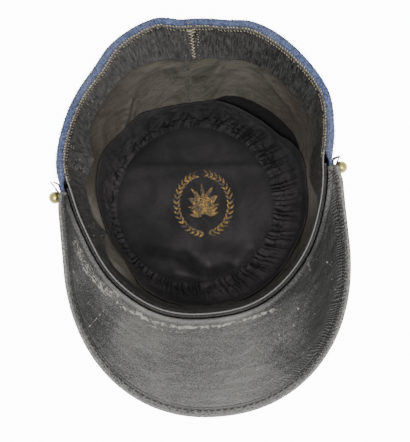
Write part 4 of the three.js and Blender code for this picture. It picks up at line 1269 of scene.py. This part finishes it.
class KEPI_OT_gathered_lining(bpy.types.Operator):
    """Gather the strip of lining that joins the sides to the round of the crown"""

    bl_idname = "kepi.gathered_lining"
    bl_label = "Gathered Lining"

    def execute(self, context):
        form, colours = cap_of(context)
        columns, rows = GATHER_COLUMNS, GATHER_ROWS
        angle = np.linspace(0, FULL_TURN, columns, endpoint=False)
        crowd = go_round(GATHER_CROWD, 1)(angle)
        strength = go_round(GATHER_CROWD, 2)(angle)
        pleats = np.cumsum(crowd) * (FULL_TURN / columns)
        pleats = pleats * round(pleats[-1]) / pleats[-1]
        pleats = pleats + 0.8 * wander(angle, 9, 21) + 0.6 * wander(angle, 24, 24)
        strength = strength * (1.0 + 1.0 * wander(angle, 22, 25))
        hem = form.hem_height * form.hem_level(angle)
        fall = form.hem_height * form.hem_fall(angle)
        outer_inset = form.wall + form.lining_thickness + 2 * form.loose
        turned = np.radians(angle)
        way = np.stack([np.sin(turned), np.cos(turned), np.zeros_like(turned)], -1)
        middle = np.array([form.tip_shift[0], form.tip_shift[1], form.gather_height])
        inner = middle + way * form.tip_radius

        def hung(height, away):
            return form.wall_point(angle, form.at_height(angle, height), outer_inset + away)

        foot = mix(hung(np.full_like(angle, form.gather_height), 0), inner, form.gather_foot_share)
        foot[:, 2] = form.gather_height * 0.75
        tuck = hung(mix(form.gather_height, hem, 0.35), fall * 0.7)
        under = inner - way * 2.6 - np.array([0, 0, 2.6])
        guide = np.stack([hung(hem, fall), tuck, foot, inner, under])
        place = np.concatenate([np.linspace(0, 3, rows - 3), [3.3, 3.7, 4.0]])
        line = np.empty((rows, columns, 3))
        first = np.minimum(place.astype(int), 3)
        for r, (i, t) in enumerate(zip(first, place - first)):
            start = (guide[i + 1] - guide[max(i - 1, 0)]) * (0.5 if i else 1.0)
            end = (guide[min(i + 2, 4)] - guide[i]) * (0.5 if i < 3 else 1.0)
            line[r] = (
                (2 * t**3 - 3 * t**2 + 1) * guide[i] + (t**3 - 2 * t**2 + t) * start * 0.8
                + (3 * t**2 - 2 * t**3) * guide[i + 1] + (t**3 - t**2) * end * 0.8
            )
        round_way = np.roll(line, -1, 1) - np.roll(line, 1, 1)
        normal = unit(np.cross(np.gradient(line, axis=0), round_way))
        normal = np.where(normal[..., 2:] < 0, -normal, normal)
        s = (place / 3)[:, None]
        lean = (1.2 * s - 0.6) * (0.5 + 1.7 * wander(angle, 5, 26)[None, :])
        everywhere = np.broadcast_to(angle, (rows, columns))
        lean = lean + 0.25 * wander(everywhere, 10, 22, s * 2)
        ridge = np.abs(np.sin(np.pi * (pleats[None, :] + lean))) ** 0.7
        drawn = smoothstep(s, 0.28, 0.8) * smoothstep(s, 1.3, 1.05)
        rise = drawn * strength[None, :] * 3.4 * (ridge - 0.5)
        loose = smoothstep(s, 0.06, 0.4) * smoothstep(s, 1.15, 0.85)
        behind = around(everywhere, 0, 85)
        rumple = 1.9 * wander(everywhere, 13, 27, s * 0.9) + 1.0 * wander(everywhere, 27, 28, s * 2.2)
        rumple = rumple * loose
        rise = rise + rumple * mix(0.35, 1.0, behind)
        rough = 0.3 * wander(everywhere, 40, 23, s * 5)
        raised = line + normal * (rise + rough * smoothstep(s, 0.0, 0.3))[..., None]
        thin = raised + normal * (form.lining_thickness * 0.8)
        valley = smoothstep(ridge, 0.7, 0.15) * drawn * np.clip(strength, 0.2, 1.2)[None, :] * 0.8
        back = around(everywhere, 5, 50)
        hollow = smoothstep(-rumple, 0.0, 0.9) - 0.35 * smoothstep(rumple, 0.1, 0.8)
        shade = 0.53 + 0.75 * valley + 0.23 * back * smoothstep(s, 0, 0.3)
        shade = shade + 0.32 * hollow * mix(0.4, 1.0, behind)
        shade = shade - 0.3 * drawn * smoothstep(ridge, 0.6, 0.95) * mix(1.0, 0.4, behind)
        shade = np.clip(shade - 0.55 * around(everywhere, 185, 60), 0, 1)
        piece = make_piece(
            "gathered_cloth", ring(raised, thin), black_cotton(colours), ["gathered_lining"],
            {"shade": shell(shade, shade)},
        )
        reach = np.arange(*HEM_ROLL, 0.5)
        level = form.hem_height * form.hem_level(reach)
        away = form.hem_height * form.hem_fall(reach)
        edge = form.wall_point(reach, form.at_height(reach, level), outer_inset + away + 0.6)
        roll = tube(edge + [0, 0, 0.3], 0.55, 10)
        masks = even_masks(roll, shade=0.64)
        make_piece("lining_hem", roll, black_cotton(colours), masks=masks)
        knots = []
        random.seed(5)
        for _ in range(LINING_ENDS):
            at = random.choice([random.uniform(20, 70), random.uniform(60, 200), random.uniform(0, 360)])
            column = int(at / FULL_TURN * columns) % columns
            row = int(rows * random.uniform(0.6, 0.97))
            start = thin[row, column] + [0, 0, 0.2]
            turn = random.uniform(0, math.tau)
            size = random.uniform(0.7, 2.2)
            bend = start + np.array([math.cos(turn), math.sin(turn), 0]) * size * 0.5 + [0, 0, 0.5]
            end = start + np.array([math.cos(turn + 0.6), math.sin(turn + 0.6), 0]) * size
            knots.append(tube([start, bend, end], 0.2, 5))
        thread = grey_thread()
        make_piece("lining_stitches", joined(knots), thread)
        return {"FINISHED"}


def tip_rumple(x, y):
    """Small rumples in the round of the lining, in millimetres."""

    def at(a, b):
        wide = noise.noise(Vector((a * 0.06, b * 0.09, 4.0)))
        return wide * 0.5 + noise.noise(Vector((a * 0.2, b * 0.2, 9.0))) * 0.16

    return np.array([at(a, b) for a, b in zip(x.ravel(), y.ravel())]).reshape(x.shape)


class KEPI_OT_tip_lining(bpy.types.Operator):
    """Lay the round of the lining with its soft folds and its worn gold ornament"""

    bl_idname = "kepi.tip_lining"
    bl_label = "Tip Lining"

    def execute(self, context):
        form, colours = cap_of(context)
        radius = form.tip_radius - form.sewn
        turn = np.radians(np.arange(0, FULL_TURN, 1.5))
        turned, out = np.meshgrid(turn, np.linspace(0.004, 1, 78) * radius)
        x = np.sin(turned) * out + form.tip_shift[0]
        y = np.cos(turned) * out + form.tip_shift[1]
        soft = smoothstep(radius - out, 0, 8)
        z = form.tip_height(x, y) + tip_rumple(x, y) * soft
        upper = np.stack([x, y, z], -1)
        lower = upper - np.array([0, 0, form.lining_thickness * 0.8])
        shade = 0.57 + 0.24 * smoothstep(y, 10, 50)
        shade = shade + 0.17 * bump_at(y - 30 + 0.1 * x, 0, 2.5) * smoothstep(y, 0, 20)
        bent = (form.tip_height(x, y) / form.gather_height - 0.9) * smoothstep(-y, 5, 25)
        shade = shade - 1.3 * np.maximum(bent, 0) + 0.7 * np.maximum(-bent, 0) - 0.1 * smoothstep(-y, 10, 35)
        shade = shade + 0.1 * smoothstep(-x, 10, 40)
        shade = np.clip(shade + 0.19 * smoothstep(radius - out, 9, 0), 0, 1)
        piece = make_piece(
            "tip_cloth", ring(upper, lower), black_cotton(colours), ["tip_lining"],
            {"shade": shell(shade, shade)},
        )
        self.add_ornament(form, colours)
        return {"FINISHED"}

    def add_ornament(self, form, colours):
        """A ring of leaves round a rosette, in flakes of gold leaf that lie on the cloth."""
        middle = np.array([-1.0, 1.5])
        parts = []

        def leaf(place, way, length, width):
            s = np.linspace(0.02, 1, 7)
            half = width / 2 * np.sin(np.pi * s**0.75)
            along = np.array([math.sin(way), math.cos(way)])
            across = np.array([along[1], -along[0]])
            plan = np.stack([
                place + along * (s[:, None] * length) + across * (half * side)[:, None]
                for side in (-1.0, -0.5, 0.0, 0.5, 1.0)
            ])
            z = form.tip_height(plan[..., 0], plan[..., 1]) + tip_rumple(plan[..., 0], plan[..., 1])
            face = np.concatenate([plan, (z + 0.1)[..., None]], -1)
            parts.append(net(shell(face, face - [0, 0, 0.06]), wrap_rows=True))

        for i in range(34):
            turn = math.radians(18 + i * 324 / 33)
            stem = np.array([math.sin(turn) * 19, math.cos(turn) * 21.5])
            for lean, size in ((0.55, 5.4), (-0.6, 4.6)):
                way = turn + math.pi / 2 * (-1 if i < 17 else 1) + lean
                leaf(middle + stem, way, size, 1.7)
        for level, count, length in ROSETTE_TIERS:
            for i in range(count):
                turn = math.radians(mix(-78, 78, i / (count - 1)))
                base = middle + np.array([math.sin(turn) * 2.2, level + math.cos(turn) * 1.2])
                leaf(base, turn, 1.25 * length * (0.75 + 0.25 * math.cos(turn)), 3.2)
        make_piece("gilt_ornament", joined(parts), worn_gilt(colours))


def end_taper(form, angle):
    """How far out the peak still reaches near its rounded ends, as a share."""
    taper = 0.27 * smoothstep(form.from_front(angle), form.peak_end - 8, form.peak_end) ** 2
    return 1 - taper + 0.05 * around(angle, 258, 10)


def peak_sheets(form, columns=640, rows=92):
    """Angles, and shares of the peak's length from its seam to a place inside its binding."""
    angle = np.linspace(180 - form.peak_end, 180 + form.peak_end, columns)
    end = 1 - form.binding_share(angle) * 0.6
    turned, s = np.meshgrid(angle, np.linspace(0, 1, rows))
    return turned, s * end[None, :] * end_taper(form, turned)


class KEPI_OT_peak(bpy.types.Operator):
    """Build the worn leather peak with its raised seam edge, tooled line and bound edge"""

    bl_idname = "kepi.peak"
    bl_label = "Peak"

    def execute(self, context):
        form, colours = cap_of(context)
        leather = peak_leather(colours)
        turned, share = peak_sheets(form)
        away = share * form.peak_length(turned)
        left = form.peak_length(turned) * (end_taper(form, turned) - share)
        dents = 0.35 * wander(turned, 9, 31, away / 30) + 0.15 * wander(turned, 30, 32, away / 9)
        dents = dents * smoothstep(away, 0, 4) * smoothstep(left, 5, 9)
        lip = 0.55 * bump_at(away, 1.4, 1.1) - 0.45 * bump_at(away, 4.0, 1.2)
        round_off = 0.9 * (1 - smoothstep(away, -0.2, 1.1))
        face = form.peak_point(turned, share, -(dents + lip) + round_off)
        under = slice(None, None, 7)
        back = form.peak_point(turned[under], share[under], form.peak_thickness - 0.3 * (away[under] < 0.5))
        rows = shell(face, back)
        # Partly worn grey leather and partly painted light: the middle and the strip along the seam are made
        # lighter as a painted reflection of the light above, and the right side is made darker as painted
        # shade.
        aside = apart(turned, 183)
        rubbed = 0.3 + 0.5 * bump_at(aside, 4, 40) - 0.1 * smoothstep(aside, 15, 55)
        rubbed = rubbed - 0.34 * smoothstep(aside, -12, -48) + 0.5 * smoothstep(aside, -52, -80)
        rubbed = rubbed + 0.16 * smoothstep(away, 7.0, 4.5) * bump_at(aside, 0, 55)
        rubbed = rubbed + 0.34 * smoothstep(aside, 58, 78)
        rubbed = rubbed - 0.24 * smoothstep(left, 36, 14) * (bump_at(aside, 34, 16) + bump_at(aside, -34, 16))
        scuffed = 0.36 * bump_at(away, 1.2, 0.8)
        for points, width, strength in PEAK_SCUFFS:
            line = near_line(face[..., 0], face[..., 1], points, width) * strength
            scuffed = np.maximum(scuffed, line * (0.8 + 0.6 * wander(turned, 40, 34, share)))
        tooled = self.tool_reach(turned) * smoothstep(left, 14.0 + 3 * wander(turned, 40, 35), 8.0)
        groove = bump_at(left, 6.6, 0.35) * 0.8
        inner = np.zeros(back.shape[:2])
        masks = {
            "rubbed": np.concatenate([rubbed, inner + 0.4]), "scuffed": np.concatenate([scuffed, inner]),
            "tooled": np.concatenate([tooled, inner]), "groove": np.concatenate([groove, inner]),
        }
        make_piece("peak_leather", net(rows, wrap_rows=True), leather, ["peak"], masks)
        self.bind(form, leather)
        self.roll_ends(form, leather)
        return {"FINISHED"}

    def tool_reach(self, angle):
        """1 where the slanted tool marks show, along the right and the left of the edge."""
        right = smoothstep(apart(angle, 90), -1, 6) * smoothstep(apart(angle, 90), 88, 55)
        left = smoothstep(apart(angle, 270), 1, -6) * smoothstep(apart(angle, 270), -52, -30)
        return np.maximum(right, 0.9 * left)

    def bind(self, form, leather):
        """The rounded strip round the peak's edge."""
        angle = np.linspace(180 - form.peak_end, 180 + form.peak_end, 640)
        start = 1 - form.binding_share(angle)
        half = 1.8
        rows = []
        for side, steps in ((-1, np.linspace(0, 1, 16)), (1, np.linspace(1, 0, 16))):
            for s in steps:
                swell = 0.82 + 0.18 * float(smoothstep(s, 0, 0.2))
                thick = half * math.sqrt(max(1 - 0.995 * s**4, 0.0)) * swell
                wave = 0.1 * wander(angle, 30, 41, s)
                where = mix(start, 1.0, s) * end_taper(form, angle)
                rows.append(form.peak_point(angle, where, form.peak_thickness / 2 + side * (thick + wave)))
        rows = np.stack(rows)
        s_all = np.concatenate([np.linspace(0, 1, 16), np.linspace(1, 0, 16)])[:, None]
        at = np.broadcast_to(angle, rows.shape[:2])
        chips = wander(at, 150, 43, s_all * 5)
        worn = 0.45 + 0.3 * around(at, 180, 60) + 0.55 * bump_at(s_all, 0.93, 0.12)
        nicked = (0.5 + 0.9 * np.maximum(chips, 0)) * bump_at(s_all, 0.92, 0.18)
        dark = 0.6 * smoothstep(-chips, 0.12, 0.4) * smoothstep(apart(at, 120), -40, 0)
        masks = {
            "rubbed": worn + 0.9 * chips, "scuffed": nicked,
            "tooled": smoothstep(s_all, 0.8, 0.5) * self.tool_reach(at),
            "groove": dark * bump_at(s_all, 0.45, 0.4),
        }
        make_piece("peak_edge", net(rows, wrap_rows=True), leather, ["peak_binding"], masks)

    def roll_ends(self, form, leather):
        """The turned-in leather at the peak's two ends."""
        parts = []
        for at in (180 - form.peak_end + 0.3, 180 + form.peak_end - 0.3):
            share = np.linspace(0.02, 0.97, 30) * end_taper(form, at)
            path = form.peak_point(np.full(30, at), share, 1.1)
            parts.append(tube(path, 1.75 * np.sin(np.pi * np.linspace(0.12, 0.88, 30)) ** 0.3, 12))
        shape = joined(parts)
        masks = even_masks(shape, rubbed=0.7, scuffed=0.52, tooled=0.0, groove=0.0)
        make_piece("peak_ends", shape, leather, masks=masks)


class KEPI_OT_peak_stitches(bpy.types.Operator):
    """Sew round the peak's edge, and fill the groove between the peak and the sweatband with a dark strip
    that stands in for its shade
    """

    bl_idname = "kepi.peak_stitches"
    bl_label = "Peak Stitches"

    def execute(self, context):
        form, colours = cap_of(context)
        thread = thread_material("Dark Thread", colours.dark_thread)
        angle = np.linspace(180 - form.peak_end + 1, 180 + form.peak_end - 1, 1200)
        length = form.peak_length(angle)
        share = (1 - np.minimum(3.7 / length, form.binding_share_most * 0.8)) * end_taper(form, angle)
        middle = form.peak_thickness / 2
        rail = form.peak_point(angle, share, middle - 1.78)
        walked = lengths(rail[None], 1)[0]
        parts = []
        for start in np.arange(1.0, walked[-1] - 3, 4.1):
            at = np.interp(np.linspace(start, start + 2.7, 4), walked, angle)
            where = np.interp(at, angle, share)
            lift = np.array([0.1, -0.16, -0.16, 0.1])
            parts.append(tube(form.peak_point(at, where, middle - 1.8 + lift), 0.27, 6))
        make_piece("peak_stitching", joined(parts), thread)
        # Painted shade: a dark strip in the groove between the peak and the sweatband.
        turned = np.linspace(180 - form.peak_end - 2, 180 + form.peak_end + 2, 360)
        rows = []
        section = [(-0.25, -1.7), (0.8, -2.2), (1.9, -1.5), (1.9, -2.8), (0.8, -3.2), (-0.25, -2.8)]
        for outward, height in section:
            plan = form.outside(turned, np.full(360, outward))
            rows.append(np.concatenate([plan, (form.rim_height(turned) + height)[:, None]], -1))
        shape = net(np.stack(rows), wrap_rows=True)
        masks = even_masks(shape, rubbed=-1.5)
        make_piece("groove_shadow_strip", shape, band_leather(colours), masks=masks)
        dots = []
        for at in np.arange(98, 262, GROOVE_STITCH_PITCH):
            path = []
            for turn in (0, 0.35, 0.7):
                plan = form.outside(np.array([at + turn]), np.array([0.9]))[0]
                height = float(form.rim_height(at + turn)) - 1.9 + 0.25 * math.sin(turn * 4.4)
                path.append([plan[0], plan[1], height])
            dots.append(tube(path, 0.26, 6))
        make_piece("groove_stitches", joined(dots), grey_thread())
        return {"FINISHED"}


class KEPI_OT_chin_strap(bpy.types.Operator):
    """Lay the narrow chin strap round the front, from button to button"""

    bl_idname = "kepi.chin_strap"
    bl_label = "Chin Strap"

    def execute(self, context):
        form, colours = cap_of(context)
        step = np.linalg.norm(form.opening(form.button_angle) - form.opening(form.button_angle + 1))
        tab = form.strap_tab / step
        angle = np.linspace(form.button_angle - tab, FULL_TURN - form.button_angle + tab, 480)
        past = np.maximum(form.button_angle - angle, angle - FULL_TURN + form.button_angle) / tab
        flare = form.strap_flare * np.where(past > 0.5, 2 * past - 1, 0) ** 2
        pointed = 1 - 0.55 * smoothstep(past, 0.55, 1.02) ** 2
        rows = []
        middle = form.strap_below_rim + form.strap_width / 2
        for across, raised in STRAP_SECTION:
            depth = middle + across * form.strap_width * pointed
            inset = -form.sewn - raised * form.strap_thickness - flare
            rows.append(form.wall_point(angle, form.at_depth(angle, depth), inset))
        shape = net(np.stack(rows), wrap_rows=True)
        masks = even_masks(shape, rubbed=0.1, scuffed=0.0, tooled=0.0, groove=0.0)
        make_piece("strap_leather", shape, peak_leather(colours), ["chin_strap"], masks)
        return {"FINISHED"}


class KEPI_OT_ball_buttons(bpy.types.Operator):
    """Set the two ball buttons that hold the chin strap, with their loose thread ends"""

    bl_idname = "kepi.ball_buttons"
    bl_label = "Ball Buttons"

    def execute(self, context):
        form, colours = cap_of(context)
        brass = button_brass(colours)
        post = -(2 * form.sewn + form.strap_thickness + form.wall + 0.4)
        ball = form.button_radius * 1.1
        neck = 1.7
        start = math.asin(1.4 / ball)
        profile = [(0.05, post), (1.4, post), (1.4, -0.1), (2.5, 0.0), (2.75, 0.3), (2.6, 0.75), (1.7, 0.95)]
        for s in np.linspace(0, 1, 22):
            swing = mix(math.pi - start, 0.02, s)
            profile.append((ball * math.sin(swing), neck + ball * math.cos(start) + ball * math.cos(swing)))
        for side, name in ((1, "button_right"), (-1, "button_left")):
            seat, way = form.button_seat(side)
            across = unit(np.cross(way, [0.0, 0.0, 1.0]))
            other = np.cross(way, across)
            turn = np.linspace(0, 2 * np.pi, 40, endpoint=False)
            rows = [
                seat + way * along + (np.cos(turn)[:, None] * across + np.sin(turn)[:, None] * other) * r
                for r, along in profile
            ]
            make_piece("ball_" + name, net(np.stack(rows), wrap_columns=True), brass, [name])
        ends = []
        steps = np.linspace(0, 1, 8)[:, None]
        for side, outward, reach in BUTTON_THREADS:
            seat, way = form.button_seat(side)
            round_way = unit(np.cross([0.0, 0.0, 1.0], way)) * side
            path = seat + way * (0.9 + outward * steps) + round_way * (reach * steps)
            ends.append(tube(path + np.array([0, 0, 1.5]) * np.sin(2 * steps), 0.42, 6))
        thread = thread_material("Dark Thread", colours.dark_thread)
        make_piece("button_threads", joined(ends), thread)
        return {"FINISHED"}


@finish("Pale Floor")
def pale_floor(board, colours):
    """A pale surface that glows, and looks white to the camera."""
    cloud = board.noise(board.where("Object"), 300.0, 3.0)
    shade = board.tint(board.level(cloud, 0.3, 0.7), colours.floor, (0.93, 0.93, 0.93))
    made = board.surface(shade, 0.9, cloud, 0.02)
    made.inputs["Emission Color"].default_value = (1, 1, 1, 1)
    seen = board.add("ShaderNodeLightPath").outputs["Is Camera Ray"]
    glow = board.math("MULTIPLY_ADD", seen, 12.0, 0.35)
    board.tree.links.new(glow, made.inputs["Emission Strength"])


class KEPI_OT_stage(bpy.types.Operator):
    """Set the pale floor, the soft lights and the camera above the opening"""

    bl_idname = "kepi.stage"
    bl_label = "Stage"

    def execute(self, context):
        colours = context.scene.kepi_colours
        mesh = bpy.data.meshes.new("floor")
        mesh.from_pydata([(-4, -4, 0), (4, -4, 0), (4, 4, 0), (-4, 4, 0)], [], [(0, 1, 2, 3)])
        mesh.materials.append(pale_floor(colours))
        floor = bpy.data.objects.new("floor", mesh)
        context.scene.collection.objects.link(floor)
        world = context.scene.world or bpy.data.worlds.new("World")
        context.scene.world = world
        world.use_nodes = True
        background = next(n for n in world.node_tree.nodes if n.type == "BACKGROUND")
        background.inputs["Color"].default_value = (1, 1, 1, 1)
        background.inputs["Strength"].default_value = 0.5
        for name, place, size, power in LIGHTS:
            light = bpy.data.lights.new(name, "AREA")
            light.size = size
            light.energy = power
            lamp = bpy.data.objects.new(name, light)
            lamp.location = place
            lamp.rotation_euler = (Vector(LIT_PLACE) - lamp.location).to_track_quat("-Z", "Y").to_euler()
            context.scene.collection.objects.link(lamp)
        camera = bpy.data.cameras.new("camera")
        camera.lens = CAMERA_LENS
        eye = bpy.data.objects.new("camera", camera)
        eye.location = CAMERA_PLACE
        eye.rotation_euler = (0, 0, math.radians(CAMERA_TURN))
        context.scene.collection.objects.link(eye)
        context.scene.camera = eye
        return {"FINISHED"}


OPERATORS = (
    KEPI_OT_crown_cloth, KEPI_OT_rim_nap, KEPI_OT_back_seam, KEPI_OT_crown_top, KEPI_OT_sweatband,
    KEPI_OT_sweatband_stitches, KEPI_OT_side_lining, KEPI_OT_gathered_lining, KEPI_OT_tip_lining,
    KEPI_OT_peak, KEPI_OT_peak_stitches, KEPI_OT_chin_strap, KEPI_OT_ball_buttons, KEPI_OT_stage,
)


class KEPI_PT_cap(bpy.types.Panel):
    """The cap's sizes, colours and pieces."""

    bl_label = "Kepi Cap"
    bl_idname = "KEPI_PT_cap"
    bl_space_type = "VIEW_3D"
    bl_region_type = "UI"
    bl_category = "Kepi"

    def draw(self, context):
        layout = self.layout
        for group in (context.scene.kepi_sizes, context.scene.kepi_colours):
            column = layout.column(align=True)
            for name in type(group).__annotations__:
                column.prop(group, name)
        column = layout.column(align=True)
        for operator in OPERATORS:
            column.operator(operator.bl_idname)


CLASSES = (KepiSizes, KepiColours, *OPERATORS, KEPI_PT_cap)


def register():
    """Adds the cap's properties, operators and panel."""
    for made in CLASSES:
        bpy.utils.register_class(made)
    bpy.types.Scene.kepi_sizes = bpy.props.PointerProperty(type=KepiSizes)
    bpy.types.Scene.kepi_colours = bpy.props.PointerProperty(type=KepiColours)


def unregister():
    """Takes the cap's properties, operators and panel away."""
    del bpy.types.Scene.kepi_colours
    del bpy.types.Scene.kepi_sizes
    for made in reversed(CLASSES):
        bpy.utils.unregister_class(made)


def main():
    """Builds every piece in turn."""
    register()
    for build in (
        bpy.ops.kepi.crown_cloth, bpy.ops.kepi.rim_nap, bpy.ops.kepi.back_seam, bpy.ops.kepi.crown_top,
        bpy.ops.kepi.sweatband, bpy.ops.kepi.sweatband_stitches, bpy.ops.kepi.side_lining,
        bpy.ops.kepi.gathered_lining, bpy.ops.kepi.tip_lining, bpy.ops.kepi.peak, bpy.ops.kepi.peak_stitches,
        bpy.ops.kepi.chin_strap, bpy.ops.kepi.ball_buttons, bpy.ops.kepi.stage,
    ):
        build()


if __name__ == "__main__":
    main()
